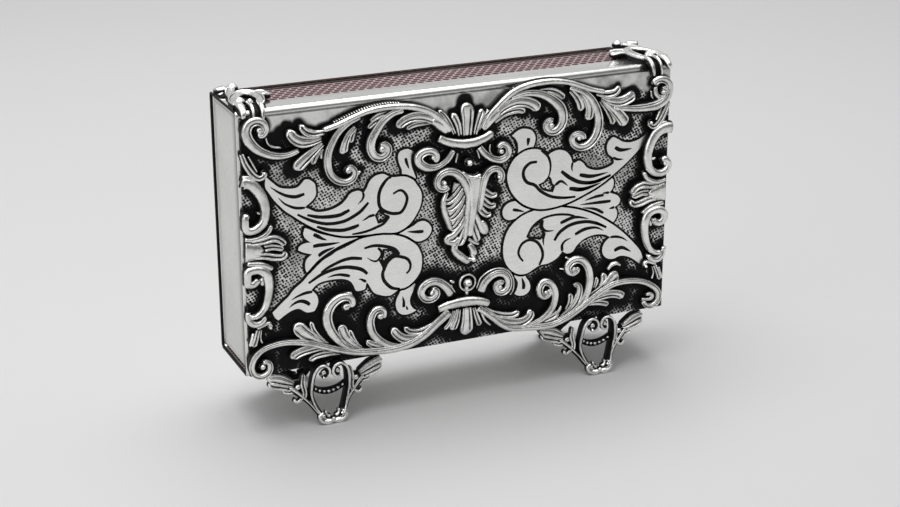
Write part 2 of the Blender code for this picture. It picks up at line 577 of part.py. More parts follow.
def build_foot(face, end, side, silver):
    """Openwork foot: a lyre-shaped loop between two leafy wings that lie under the case."""
    middle = HANDS[end] * FOOT_OFFSET
    bars = [
        (FOOT_SCROLL_SHARES, FOOT_SIDE_SHARES, FOOT_BAR),
        (FOOT_WING_SHARES, WING_SIDE_SHARES, WING_DEPTH),
        (FOOT_LEG_SHARES + FOOT_CURL_SHARES, LEG_SIDE_SHARES, FOOT_BAR),
    ]
    shapes = [
        foot_sweep(points, widths, table, depth, hand, middle, side)
        for strokes, table, depth in bars
        for points, widths in strokes
        for hand in (1, -1)
    ]
    points, widths = FOOT_NECKLACE_SHARES
    shapes.append(foot_sweep(points, widths, FOOT_SIDE_SHARES, FOOT_BAR, 1, middle, side))
    near, far = sorted((side * (HALF_DEPTH + FOOT_REACH - TOE_DEPTH / 2),
                        side * (HALF_DEPTH + FOOT_REACH + TOE_DEPTH / 2)))
    toe = block((middle - TOE_LENGTH / 2, near, 0), (middle + TOE_LENGTH / 2, far, TOE_HEIGHT))
    shapes.append(toe)
    fuse(face + "_" + end + "_foot", shapes, silver)


def build_matchbox(card, striker):
    """Card sleeve that is open at both ends, with a striking strip along each narrow side."""
    half_width = CARD_WIDTH / 2
    half_depth = CARD_DEPTH / 2
    shape = block((-half_width, -half_depth, CARD_FOOT),
                  (half_width, half_depth, CARD_FOOT + CARD_HEIGHT))
    drop_faces(shape, Vector((1, 0, 0)))
    drop_faces(shape, Vector((-1, 0, 0)))
    add_wall(place("matchbox_sleeve", shape, card), CARD)
    strip = half_depth - STRIKER_SIDE_RIM
    lower = CARD_FOOT - SEAT_GAP - STRIKER
    upper = CARD_FOOT + CARD_HEIGHT + SEAT_GAP
    for name, foot in (("bottom_striker_strip", lower), ("top_striker_strip", upper)):
        place(name, block((-half_width, -strip, foot), (half_width, strip, foot + STRIKER)),
              striker)


def build_tray(card):
    """Card tray that lies on its side, with its open side to the front."""
    half_width = CARD_WIDTH / 2
    half_depth = TRAY_DEPTH / 2
    shape = block((-half_width, -half_depth, TRAY_FOOT),
                  (half_width, half_depth, TRAY_FOOT + TRAY_HEIGHT))
    drop_faces(shape, Vector((0, -1, 0)))
    add_wall(place("matchbox_tray", shape, card), CARD)


def match_shape():
    """One match along +X from zero: a square stick that swells into a round head."""
    shape = bmesh.new()

    def ring(x, radius, square):
        corners = []
        for side in range(MATCH_SIDES):
            turn = 2 * math.pi * side / MATCH_SIDES
            reach = radius / max(abs(math.cos(turn)), abs(math.sin(turn))) if square else radius
            corners.append(shape.verts.new((x, math.cos(turn) * reach, math.sin(turn) * reach)))
        return corners

    head_start = MATCH_LENGTH - MATCH_HEAD_LENGTH
    rings = [ring(0, MATCH_STICK / 2, True), ring(head_start, MATCH_STICK / 2, True)]
    for along, radius in HEAD_SHARES:
        x = head_start + SEAT_GAP + along * (MATCH_HEAD_LENGTH - SEAT_GAP)
        rings.append(ring(x, radius * MATCH_HEAD / 2, False))
    for number, (near, far) in enumerate(zip(rings, rings[1:])):
        for side in range(MATCH_SIDES):
            after = (side + 1) % MATCH_SIDES
            face = shape.faces.new((near[side], near[after], far[after], far[side]))
            face.material_index = 1 if number > 0 else 0
    shape.faces.new(list(reversed(rings[0])))
    tip = shape.faces.new(rings[-1])
    tip.material_index = 1
    bmesh.ops.recalc_face_normals(shape, faces=shape.faces)
    return shape


def build_matches(wood, head):
    """Matches along the tray, with their heads at alternate ends so that they nest."""
    first_y = TRAY_DEPTH / 2 - CARD - SEAT_GAP - MATCH_HEAD / 2
    first_z = TRAY_FOOT + CARD + SEAT_GAP + MATCH_HEAD / 2
    number = 0
    for layer in range(MATCH_LAYERS):
        for column in range(MATCH_COLUMNS):
            number += 1
            shape = match_shape()
            if (layer + column) % 2:
                bmesh.ops.rotate(shape, verts=shape.verts, cent=(MATCH_LENGTH / 2, 0, 0),
                                 matrix=Matrix.Rotation(math.pi, 3, "Z"))
            match = place("match_%d" % number, shape, wood, head)
            match.location = (-MATCH_LENGTH / 2, first_y - column * MATCH_PITCH,
                              first_z + layer * MATCH_PITCH)


def build_model():
    clear_scene()
    silver = make_material("silver sheet", (0.72, 0.72, 0.71), 0.22, 1)
    cast_silver = make_material("oxidised cast silver", (0.55, 0.55, 0.54), 0.3, 1)
    card = make_material("grey card", (0.52, 0.52, 0.5), 0.8, 0)
    striker = make_material("maroon striking strip", (0.11, 0.03, 0.04), 0.7, 0)
    wood = make_material("match wood", (0.66, 0.45, 0.22), 0.75, 0)
    head = make_material("red match head", (0.5, 0.01, 0.03), 0.6, 0)
    build_case(silver)
    build_plate(silver)
    build_upper_frieze(cast_silver)
    build_lower_frieze(cast_silver)
    build_drop(cast_silver)
    for end in HANDS:
        build_border(end, cast_silver)
        build_mount(end, cast_silver)
        build_foot("front", end, -1, cast_silver)
        build_foot("back", end, 1, cast_silver)
    build_matchbox(card, striker)
    build_tray(card)
    build_matches(wood, head)


build_model()
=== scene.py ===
# Looks of the silver matchbox case: finishes, engraving, fine castings, card box and matches.
# Lengths in the drawings are millimetres, and mm turns them into Blender's metres.
import math

import bmesh
import bpy
import numpy as np
from mathutils import Matrix, Vector, kdtree


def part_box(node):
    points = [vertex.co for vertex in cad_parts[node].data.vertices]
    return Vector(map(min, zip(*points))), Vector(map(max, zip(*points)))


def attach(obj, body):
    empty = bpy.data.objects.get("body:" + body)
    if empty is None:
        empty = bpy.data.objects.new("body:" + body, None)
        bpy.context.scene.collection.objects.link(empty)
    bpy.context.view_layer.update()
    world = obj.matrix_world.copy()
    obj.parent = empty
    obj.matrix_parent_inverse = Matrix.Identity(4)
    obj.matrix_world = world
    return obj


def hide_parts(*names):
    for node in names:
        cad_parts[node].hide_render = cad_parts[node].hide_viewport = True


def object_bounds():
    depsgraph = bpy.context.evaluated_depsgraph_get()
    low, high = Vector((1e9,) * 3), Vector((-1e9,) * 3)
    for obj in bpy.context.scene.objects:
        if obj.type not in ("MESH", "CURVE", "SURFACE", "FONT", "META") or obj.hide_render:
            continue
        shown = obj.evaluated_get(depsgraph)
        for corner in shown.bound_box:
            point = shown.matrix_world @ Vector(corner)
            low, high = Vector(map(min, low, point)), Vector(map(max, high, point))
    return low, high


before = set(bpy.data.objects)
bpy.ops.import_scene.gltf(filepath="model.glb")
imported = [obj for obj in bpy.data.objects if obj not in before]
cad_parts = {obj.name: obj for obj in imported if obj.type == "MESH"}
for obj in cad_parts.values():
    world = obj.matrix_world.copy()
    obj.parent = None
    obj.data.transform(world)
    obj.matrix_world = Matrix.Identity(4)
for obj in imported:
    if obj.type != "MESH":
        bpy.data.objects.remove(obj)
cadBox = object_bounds()
mm = 0.001

caseLow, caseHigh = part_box("case_sleeve")
plateLow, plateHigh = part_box("front_plate")
caseFoot = caseLow.z
caseTop = caseHigh.z
faceY = plateLow.y  # front of the face plate
print("frame loaded")


# Shader maths

class Value:
    # one output socket, with Python's operators
    def __init__(self, finish, socket):
        self.finish = finish
        self.socket = socket

    def maths(self, operation, *others):
        return self.finish.node("Math", {"operation": operation}, {
            index: other for index, other in enumerate((self,) + others)
        })

    def reflected(self, operation, other):
        return self.finish.node("Math", {"operation": operation}, {0: other, 1: self})

    def __add__(self, other):
        return self.maths("ADD", other)

    def __radd__(self, other):
        return self.maths("ADD", other)

    def __sub__(self, other):
        return self.maths("SUBTRACT", other)

    def __rsub__(self, other):
        return self.reflected("SUBTRACT", other)

    def __mul__(self, other):
        return self.maths("MULTIPLY", other)

    def __rmul__(self, other):
        return self.maths("MULTIPLY", other)

    def __truediv__(self, other):
        return self.maths("DIVIDE", other)

    def __rtruediv__(self, other):
        return self.reflected("DIVIDE", other)

    def __abs__(self):
        return self.maths("ABSOLUTE")

    def clamp(self):
        return self.maths("MAXIMUM", 0).maths("MINIMUM", 1)

    def most(self, other):
        return self.maths("MAXIMUM", other)

    def least(self, other):
        return self.maths("MINIMUM", other)

    def ramp(self, low, high):
        # 0 at low, 1 at high, eased; low may be the larger
        return self.finish.node("MapRange", {"interpolation_type": "SMOOTHSTEP"}, {
            "Value": self, "From Min": low, "From Max": high
        })


class Finish:
    # a material whose nodes are made one call at a time
    def __init__(self, name, roughness=0.4, metallic=0, **constants):
        self.material = bpy.data.materials.new(name)
        self.material.use_nodes = True
        self.tree = self.material.node_tree
        self.surface = self.tree.nodes["Principled BSDF"]
        self.surface.inputs["Roughness"].default_value = roughness
        self.surface.inputs["Metallic"].default_value = metallic
        for socket, value in constants.items():
            self.surface.inputs[socket.replace("_", " ")].default_value = value

    def node(self, kind, settings=None, sockets=None, output=0):
        made = self.tree.nodes.new("ShaderNode" + kind)
        for setting, value in (settings or {}).items():
            setattr(made, setting, value)
        for socket, value in (sockets or {}).items():
            if isinstance(value, Value):
                self.tree.links.new(value.socket, made.inputs[socket])
            else:
                made.inputs[socket].default_value = value
        return None if output is None else Value(self, made.outputs[output])

    def place(self):
        return self.node("TexCoord", output="Object")

    def axes(self, vector):
        return [self.node("SeparateXYZ", None, {"Vector": vector}, index) for index in range(3)]

    def noise(self, size, detail=3, stretch=(1, 1, 1)):
        # size is the width of a blotch in metres
        spot = self.node("Mapping", {"vector_type": "POINT"}, {
            "Vector": self.place(), "Scale": stretch
        })
        return self.node("TexNoise", None, {
            "Vector": spot, "Scale": 1 / size, "Detail": detail, "Roughness": 0.6
        })

    def attribute(self, name):
        return self.node("Attribute", {"attribute_name": name}, None, "Fac")

    def mix(self, share, start, end):
        # start and end are colours, or values that carry colours
        def colour(value):
            return value if isinstance(value, Value) else (*value, 1)
        return self.node("Mix", {"data_type": "RGBA"}, {
            0: share, 6: colour(start), 7: colour(end)
        }, 2)

    def use(self, socket, value):
        self.tree.links.new(value.socket, self.surface.inputs[socket])

    def bump(self, height, depth, distance=0.001):
        made = self.node("Bump", None, {
            "Height": height, "Strength": depth, "Distance": distance
        })
        self.use("Normal", made)


tones = {
    "silver": (0.93, 0.925, 0.91),
    "oxide": (0.012, 0.012, 0.013),
    "oxideSpeck": (0.02, 0.02, 0.02),
    "sheetCloud": (0.74, 0.74, 0.72),
    "cutWallShade": (0.3, 0.27, 0.24),
    "castCloud": (0.64, 0.64, 0.625),
    "groundCloud": (0.36, 0.36, 0.35),
    "ground": (0.86, 0.86, 0.845),
    "engravedCloud": (0.86, 0.86, 0.845),
    "engraved": (0.97, 0.97, 0.955),
    "card": (0.76, 0.76, 0.745),
    "cardShade": (0.05, 0.05, 0.05),
    "cardPrintAndShade": (0.03, 0.012, 0.012),
    "striker": (0.014, 0.002, 0.004),
    "strikerWorn": (0.05, 0.013, 0.018),
    "honeycomb": (0.4, 0.27, 0.28),
    "honeycombPale": (0.62, 0.48, 0.48),
    "splintGrain": (0.5, 0.29, 0.12),
    "splint": (0.78, 0.55, 0.3),
    "headDark": (0.34, 0.005, 0.02),
    "head": (0.62, 0.012, 0.045),
}


def makePolishedSheet():
    finish = Finish("polished silver sheet", metallic=1, Specular_IOR_Level=0.1)
    cloud = finish.noise(0.02, 4, (1, 1, 2.2))
    streak = finish.noise(0.004, 3, (0.25, 1, 3))
    tone = (cloud * 0.55 + streak * 0.45).ramp(0.3, 0.75)
    x, y, z = finish.axes(finish.place())
    skin = 0.15 * mm  # what lies deeper in the sheet than this is its inside
    soft = 0.05 * mm
    cutEnd = caseHigh.x - 0.25 * mm
    darkEnd = caseHigh.x - 0.65 * mm
    frontWall = caseLow.y + 0.5 * mm
    windowRim = caseHigh.y - 1.1 * mm
    # the cut ends and the edge of the inside are painted black as shade, but for the front wall's
    inside = (caseHigh.y - skin - y).ramp(0, soft) * (caseTop - skin - z).ramp(0, soft)
    inside = inside * (z - (caseFoot + skin)).ramp(0, soft)
    black = (abs(x) - cutEnd).ramp(0, 2 * soft)
    black = black.most((abs(x) - darkEnd).ramp(0, 2 * soft) * inside)
    black = black * (y - frontWall).ramp(0, 2 * soft)
    polished = finish.mix(tone, tones["sheetCloud"], tones["silver"])
    # painted shade: the cut wall of the window's far rim is painted a dark dull brown
    shadedCutWall = (y - (windowRim - skin)).ramp(0, 2 * soft) * (windowRim + skin - y).ramp(0, 2 * soft)
    shadedCutWall = shadedCutWall * (z - (caseTop - mm)).ramp(0, 2 * soft)
    polished = finish.mix(shadedCutWall, polished, tones["cutWallShade"])
    # the oxide colour here is painted shade
    finish.use("Base Color", finish.mix(black, polished, tones["oxide"]))
    finish.use("Roughness", 0.14 + streak * 0.12 + black * 0.4)
    finish.use("Metallic", 1 - black * 0.6)
    finish.bump(finish.noise(0.0015, 2), 0.04)
    return finish.material


def makeCastSilver():
    # black in the recesses, worn bright on the high places
    finish = Finish("oxidised cast silver", metallic=1, Specular_IOR_Level=0.08)
    # dark is oxide in the hollows, and painted shade where a black bed lies
    dark = finish.attribute("dark")
    grain = finish.noise(0.0005, 2)
    patch = finish.noise(0.003, 3)
    mask = (dark + (grain - 0.5) * 0.5 + (patch - 0.5) * 0.35).ramp(0.2, 0.66)
    shade = finish.mix(patch.ramp(0.35, 0.75), tones["silver"], tones["castCloud"])
    finish.use("Base Color", finish.mix(mask, shade, tones["oxide"]))
    finish.use("Roughness", 0.17 + mask * 0.4)
    finish.use("Metallic", 1 - mask * 0.6)
    finish.bump(grain, 0.16, 0.0004)
    return finish.material


def makeGround():
    # stippled and blackened face plate; "dark" says how deep the black lies, "smooth" where
    # no punch has gone
    finish = Finish("stippled silver ground", metallic=1, Specular_IOR_Level=0.08)
    pitSpacing = 0.78 * mm
    rowTurn = 0.45
    dark = finish.attribute("dark")
    smooth = finish.attribute("smooth")
    spot = finish.node("Mapping", None, {
        "Vector": finish.place(), "Rotation": (0, rowTurn, 0), "Scale": (1, 0, 1.12)
    })
    dots = finish.node("TexVoronoi", {"feature": "F1"}, {
        "Vector": spot, "Scale": 1 / pitSpacing, "Randomness": 0.35
    })
    patch = finish.noise(0.004, 3)
    # small punched pits, on a ground that darkens softly towards the castings, oxide and painted
    # shade
    depth = dark + (patch - 0.5) * 0.5
    reach = 0.39 + (patch - 0.5) * 0.3 + dark * 0.3
    pit = (reach - dots).ramp(-0.07, 0.07) * (1 - smooth)
    shadeAndOxide = depth.ramp(0.1, 0.85)
    black = pit.most(shadeAndOxide).clamp()
    cloud = finish.noise(0.012, 2)
    tone = finish.mix((patch * 0.5 + cloud * 0.5).ramp(0.35, 0.62), tones["groundCloud"],
                      tones["ground"])
    finish.use("Base Color", finish.mix(black, tone, tones["oxide"]))
    finish.use("Roughness", 0.24 + black * 0.35)
    finish.use("Metallic", 1 - black * 0.6)
    finish.bump(pit * -1, 0.5, 0.0002)
    return finish.material


def makeEngravedSilver():
    finish = Finish("bright engraved silver", roughness=0.26, metallic=1)
    cloud = finish.noise(0.006, 4)
    scratch = finish.noise(0.0012, 3, (0.2, 1, 1.6))
    tone = (cloud * 0.6 + scratch * 0.4).ramp(0.35, 0.7)
    finish.use("Base Color", finish.mix(tone, tones["engravedCloud"], tones["engraved"]))
    finish.use("Roughness", 0.2 + scratch * 0.14)
    return finish.material


def makeOxide():
    finish = Finish("black oxide", metallic=0.3, Specular_IOR_Level=0.1)
    speck = finish.noise(0.0006, 2)
    finish.use("Base Color", finish.mix(speck.ramp(0.4, 0.8), tones["oxide"],
                                        tones["oxideSpeck"]))
    finish.use("Roughness", 0.5 + speck * 0.25)
    return finish.material


def makeCard():
    low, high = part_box("matchbox_sleeve")
    trayLow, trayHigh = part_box("matchbox_tray")
    middle = (low.z + high.z) / 2
    printedFrom = high.z - middle - 0.1 * mm
    atEnd = (-0.3 * mm, -0.2 * mm)  # from an end's face, where its soft edge starts and stops
    finish = Finish("grey card", roughness=0.75)
    fibre = finish.noise(0.0012, 4, (0.3, 1, 1))
    cloud = finish.noise(0.015, 3)
    share = (fibre * 0.6 + cloud * 0.4).ramp(0.3, 0.7)
    x, y, z = finish.axes(finish.place())
    # the long narrow sides are dark round the striking strips: print, with painted shade
    printAndShade = (abs(z - middle) - printedFrom).ramp(0, 0.05 * mm)
    card = finish.mix(share, tuple(0.88 * part for part in tones["card"]), tones["card"])
    # the front of the sleeve's ends is dark too, painted shade, and the tray's ends get painted
    # shade towards the front
    sleeveEnd = (abs(x) - high.x).ramp(*atEnd)
    printAndShade = printAndShade.most((trayLow.y - y).ramp(0, 0.05 * mm) * sleeveEnd)
    trayEnd = (abs(x) - trayHigh.x).ramp(*atEnd)
    behindFront = y - trayLow.y
    frontShade = behindFront.ramp(5 * mm, -0.2 * mm) * behindFront.ramp(-0.1 * mm, 0) * trayEnd
    card = finish.mix(frontShade, card, tones["cardShade"])
    finish.use("Base Color", finish.mix(printAndShade, card, tones["cardPrintAndShade"]))
    finish.use("Roughness", 0.65 + fibre * 0.2)
    finish.bump(fibre, 0.15, 0.0002)
    return finish.material


def makeStriker():
    # maroon striking paper with a honeycomb of paler lines
    finish = Finish("maroon striking paper", roughness=0.8)
    x, y, z = finish.axes(finish.place())
    across = 2.2 * mm
    along = 1.42 * mm
    lineShare = 0.13
    nearest = None
    for shift in (0, 0.5):
        u = x / across + shift
        v = y / (2 * along) + shift
        u = abs(u - u.maths("ROUND"))
        v = abs(v - v.maths("ROUND"))
        hexagon = u.most(u * 0.5 + v * 1.5)  # 0.5 on the cell's edge
        nearest = hexagon if nearest is None else nearest.least(hexagon)
    mesh = nearest.ramp(0.5 - lineShare, 0.5 - lineShare * 0.45)
    grit = finish.noise(0.0004, 2)
    paper = finish.mix(grit.ramp(0.35, 0.7), tones["striker"], tones["strikerWorn"])
    pale = finish.mix(grit.ramp(0.3, 0.7), tones["honeycomb"], tones["honeycombPale"])
    finish.use("Base Color", finish.mix(mesh, paper, pale))
    finish.bump(grit + mesh * 0.6, 0.3, 0.0002)
    return finish.material


def makeSplint():
    finish = Finish("aspen splint", roughness=0.7)
    grain = finish.noise(0.0007, 5, (0.03, 1, 1))
    blotch = finish.noise(0.008, 2, (0.3, 1, 1))
    tone = (grain * 0.7 + blotch * 0.3).ramp(0.3, 0.72)
    finish.use("Base Color", finish.mix(tone, tones["splintGrain"], tones["splint"]))
    finish.bump(grain, 0.25, 0.0002)
    return finish.material


def makeHead():
    finish = Finish("red match head", roughness=0.6)
    grain = finish.noise(0.0006, 3)
    finish.use("Base Color", finish.mix(grain.ramp(0.3, 0.7), tones["headDark"],
                                        tones["head"]))
    finish.use("Roughness", 0.5 + grain * 0.3)
    finish.bump(grain, 0.5, 0.0003)
    return finish.material


finishes = {
    "sheet": makePolishedSheet(),
    "cast": makeCastSilver(),
    "ground": makeGround(),
    "engraved": makeEngravedSilver(),
    "oxide": makeOxide(),
    "card": makeCard(),
    "striker": makeStriker(),
    "splint": makeSplint(),
    "head": makeHead(),
}
print("finishes made")


# Drawing helpers
curveStep = 0.35  # mm between the points of a drawn curve


def smoothLine(points, step):
    # a curve through given points, in steps of about the same length
    points = [np.array(point, float) for point in points]
    ends = [2 * points[0] - points[1]] + points + [2 * points[-1] - points[-2]]
    line = []
    for before, start, end, after in zip(ends, ends[1:], ends[2:], ends[3:]):
        count = max(2, math.ceil(np.linalg.norm(end - start) / step))
        for index in range(count):
            t = index / count
            line.append(0.5 * (
                2 * start + (end - before) * t
                + (2 * before - 5 * start + 4 * end - after) * t ** 2
                + (3 * start - before - 3 * end + after) * t ** 3
            ))
    line.append(points[-1])
    return np.array(line)


def closedLine(points, step):
    # an outline; a third number marks a point as a sharp corner
    corners = [index for index, point in enumerate(points) if len(point) > 2]
    if not corners:
        corners = [0]
    first = corners[0]
    turned = [point[:2] for point in points[first:] + points[:first]] + [points[first][:2]]
    stops = [index - first for index in corners] + [len(points)]
    line = []
    for start, end in zip(stops, stops[1:]):
        line += list(smoothLine(turned[start:end + 1], step))[:-1]
    return np.array(line)


def lengthsAlong(line):
    return np.concatenate([[0], np.cumsum(np.linalg.norm(np.diff(line, axis=0), axis=1))])


def blendThree(values, t):
    return np.interp(t, (0, 0.5, 1), values)


def ease(value):
    value = np.clip(value, 0, 1)
    return value * value * (3 - 2 * value)


def makeObject(name, verts, faces):
    mesh = bpy.data.meshes.new(name)
    mesh.from_pydata([tuple(vert) for vert in verts], [], faces)
    mesh.validate()
    made = bpy.data.objects.new(name, mesh)
    bpy.context.scene.collection.objects.link(made)
    return made


def selectOnly(thing):
    bpy.ops.object.select_all(action="DESELECT")
    thing.select_set(True)
    bpy.context.view_layer.objects.active = thing


def applyAll(thing):
    selectOnly(thing)
    bpy.ops.object.transform_apply(location=True, rotation=True, scale=True)
    for modifier in list(thing.modifiers):
        bpy.ops.object.modifier_apply(modifier=modifier.name)


def smoothShade(thing, degrees=None):
    selectOnly(thing)
    if degrees is None:
        bpy.ops.object.shade_smooth()
    else:
        bpy.ops.object.shade_smooth_by_angle(angle=math.radians(degrees))


def hand(thing, finish, body, slot, *nodes):
    # finish, body, slot (not used) and the solids that the piece stands for
    thing.data.materials.clear()
    thing.data.materials.append(finishes[finish])
    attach(thing, body)
    if nodes:
        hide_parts(*nodes)


# Cross-sections of a cast stroke: place across it, rise and darkness, all as shares
sections = {
    # a broad body with a rim along each side
    "lobe": [(-0.5, 0, 1), (-0.49, 0.5, 0.95), (-0.45, 0.88, 0.2), (-0.39, 1, 0),
             (-0.32, 0.92, 0.1), (-0.26, 0.68, 0.85), (-0.2, 0.74, 0.2), (-0.08, 0.84, 0.05),
             (0.08, 0.84, 0.05), (0.2, 0.74, 0.2), (0.26, 0.68, 0.85), (0.32, 0.92, 0.1),
             (0.39, 1, 0), (0.45, 0.88, 0.2), (0.49, 0.5, 0.95), (0.5, 0, 1)],
    # one groove between two ribs
    "feather": [(-0.5, 0, 1), (-0.49, 0.5, 0.95), (-0.44, 0.88, 0.15), (-0.32, 1, 0),
                (-0.18, 0.92, 0.05), (-0.08, 0.76, 0.4), (0, 0.62, 1), (0.08, 0.76, 0.4),
                (0.18, 0.92, 0.05), (0.32, 1, 0), (0.44, 0.88, 0.15), (0.49, 0.5, 0.95),
                (0.5, 0, 1)],
    # a broad smooth body with a thin rim along the outer side
    "stem": [(-0.5, 0, 1), (-0.49, 0.5, 0.95), (-0.45, 0.9, 0.2), (-0.4, 1, 0),
             (-0.34, 0.94, 0.05), (-0.29, 0.72, 0.8), (-0.23, 0.8, 0.15), (-0.1, 0.93, 0),
             (0.1, 0.97, 0), (0.28, 0.93, 0), (0.4, 0.82, 0.05), (0.47, 0.55, 0.7), (0.5, 0, 1)],
    "band": [(-0.5, 0, 1), (-0.48, 0.5, 0.8), (-0.42, 0.85, 0.1), (-0.2, 1, 0), (0.15, 0.98, 0),
             (0.38, 0.85, 0.1), (0.47, 0.5, 0.8), (0.5, 0, 1)],
    "wire": [(-0.5, 0, 1), (-0.47, 0.4, 0.9), (-0.38, 0.75, 0.15), (-0.2, 0.95, 0), (0, 1, 0),
             (0.2, 0.95, 0), (0.38, 0.75, 0.15), (0.47, 0.4, 0.9), (0.5, 0, 1)],
    # dark all over: a black bed of painted shade under the strokes that lie over it
    "bed": [(-0.5, 0, 1), (-0.5, 0.8, 1), (-0.4, 1, 1), (0.4, 1, 1), (0.5, 0.8, 1), (0.5, 0, 1)],
    # bright along its outer edge only
    "bar": [(-0.5, 0, 1), (-0.5, 0.78, 1), (-0.2, 0.84, 1), (-0.08, 0.94, 0.6), (0.04, 1, 0),
            (0.38, 1, 0), (0.48, 0.88, 0.4), (0.5, 0.7, 1), (0.5, 0, 1)],
}


class Casting:
    # gathers strokes and bosses into one mesh that knows how dark each place is
    def __init__(self, name):
        self.name = name
        self.verts = []
        self.faces = []
        self.dark = []

    def rings(self, rings):
        # rings of (place, dark), all with as many places, closed at both ends
        first = len(self.verts)
        count = len(rings[0])
        for ring in rings:
            for place, dark in ring:
                self.verts.append(np.clip(place, cadBox[0], cadBox[1]))
                self.dark.append(dark)
        for row in range(len(rings) - 1):
            for corner in range(count):
                after = (corner + 1) % count
                near = first + row * count
                far = near + count
                self.faces.append((near + corner, near + after, far + after, far + corner))
        last = first + (len(rings) - 1) * count
        self.faces.append([first + corner for corner in reversed(range(count))])
        self.faces.append([last + corner for corner in range(count)])

    def stroke(self, line, outward, widths, heights, section="lobe", roundStart=False,
               roundEnd=True, flip=1):
        # line and outward are arrays of places and directions, or outward one direction; flip
        # is -1 for a section that is turned over, as on the left half of the face
        along = lengthsAlong(line)
        total = along[-1]
        ringStep = 0.4 * mm
        tips = (1, 0.8, 0.6, 0.42, 0.28, 0.16, 0.08, 0.02)
        thinnest = 0.06
        lowest = 0.45

        def at(rows, where):
            return np.array([np.interp(where, along, rows[:, axis]) for axis in range(3)])

        def roundReach(width):
            return min(width * 0.55, total * 0.4)

        endReach = roundReach(widths[2])
        startReach = roundReach(widths[0])
        stops = list(np.linspace(0, total, max(4, math.ceil(total / ringStep))))
        if roundEnd:
            stops = [stop for stop in stops if stop < total - endReach]
            stops += [total - endReach * tip for tip in tips] + [total]
        if roundStart:
            stops = [stop for stop in stops if stop > startReach]
            stops = [0] + [startReach * tip for tip in reversed(tips)] + stops
        outward = np.array(outward, float)
        rings = []
        for stop in stops:
            place = at(line, stop)
            ahead = (at(line, min(stop + ringStep / 2, total))
                     - at(line, max(stop - ringStep / 2, 0)))
            out = outward if outward.ndim == 1 else at(outward, stop)
            across = np.cross(ahead, out)
            across /= np.linalg.norm(across)
            out = np.cross(across, ahead)
            out /= np.linalg.norm(out)
            tip = 1
            if roundEnd and stop > total - endReach:
                tip = math.sqrt(max(0, 1 - ((stop - total + endReach) / endReach) ** 2))
            if roundStart and stop < startReach:
                tip = math.sqrt(max(0, 1 - ((startReach - stop) / startReach) ** 2))
            width = blendThree(widths, stop / total) * max(tip, thinnest)
            height = blendThree(heights, stop / total) * (lowest + (1 - lowest) * tip)
            # the hollows run out just before the tip, so that it ends in a closed rim
            fluted = float(ease((total - stop) / (0.7 * endReach) - 0.2)) if roundEnd else 1
            root = 0.25 * (1 - float(ease(stop / (0.12 * total))))
            ring = []
            for side, rise, dark in sections[section]:
                dome = max(0, 1 - (2 * side) ** 2) ** 0.35
                edge = float(ease((abs(side) - 0.36) / 0.14))
                rise += (dome - rise) * (1 - fluted)
                dark += (edge - dark) * (1 - fluted)
                ring.append((place + across * side * flip * width + out * rise * height,
                             max(dark, root, 0.6 * (1 - tip) ** 2)))
            rings.append(ring)
        self.rings(rings)

    def boss(self, centre, outward, radius, height, sides=20):
        # a round dome that is dark round its foot
        anyWay = (0.31, 0.52, 0.79)  # lies along no axis
        outward = np.array(outward, float)
        across = np.cross(outward, anyWay)
        across /= np.linalg.norm(across)
        upward = np.cross(outward, across)
        rings = []
        for rise, dark in ((0, 1), (0.3, 0.9), (0.55, 0.3), (0.8, 0), (0.94, 0), (0.995, 0)):
            size = radius * math.sqrt(1 - rise * rise)
            rings.append([
                (np.array(centre) + outward * height * rise
                 + (across * math.cos(turn) + upward * math.sin(turn)) * size, dark)
                for turn in np.linspace(0, 2 * math.pi, sides, endpoint=False)
            ])
        self.rings(rings)

    def finish(self, node):
        made = makeObject(self.name, self.verts, self.faces)
        shape = bmesh.new()
        shape.from_mesh(made.data)
        bmesh.ops.recalc_face_normals(shape, faces=shape.faces)
        shape.to_mesh(made.data)
        shape.free()
        made.data.attributes.new("dark", "FLOAT", "POINT").data.foreach_set("value", self.dark)
        smoothShade(made)
        hand(made, "cast", "case", "cast_silver", node)
        print(self.name, len(self.faces) * 2, "triangles or so")


frontward = (0, -1, 0)
shadeAndStainSpots = []  # x, z and half width, in mm, of every casting on the face, with its halo of oxide and painted shade


def onFace(x, z):
    return (x * mm, faceY, caseFoot + z * mm)


def faceStrokes(casting, drawing):
    for points, widths, share, section in drawing["strokes"]:
        flat = smoothLine(points, curveStep)
        line = np.array([onFace(x, z) for x, z in flat])
        height = drawing["relief"] * share
        casting.stroke(line, frontward, [width * drawing["full"] * mm for width in widths],
                       (0.8 * height, height, height), section,
                       flip=-1 if flat[len(flat) // 2][0] < 0 else 1)
        along = lengthsAlong(flat)
        for (x, z), stop in zip(flat, along):
            half = blendThree(widths, stop / along[-1]) * drawing["full"] / 2
            shadeAndStainSpots.append((x, z, half, drawing["halo"]))


def faceBosses(casting, drawing):
    for kind, sides, share in (("eyes", 20, 1), ("pearls", 20, 1), ("beads", 10, 0.65)):
        for x, z, radius in drawing.get(kind, []):
            casting.boss(onFace(x, z), frontward, radius * mm, share * drawing["relief"], sides)
            shadeAndStainSpots.append((x, z, radius, drawing["halo"]))
    for x, z, radius in drawing.get("rings", []):
        circle = [onFace(x + radius * math.cos(turn), z + radius * math.sin(turn))
                  for turn in np.linspace(0, 2 * math.pi, 33)]
        casting.stroke(np.array(circle), frontward, (0.7 * mm,) * 3,
                       (0.5 * drawing["relief"],) * 3, "wire", roundEnd=False)


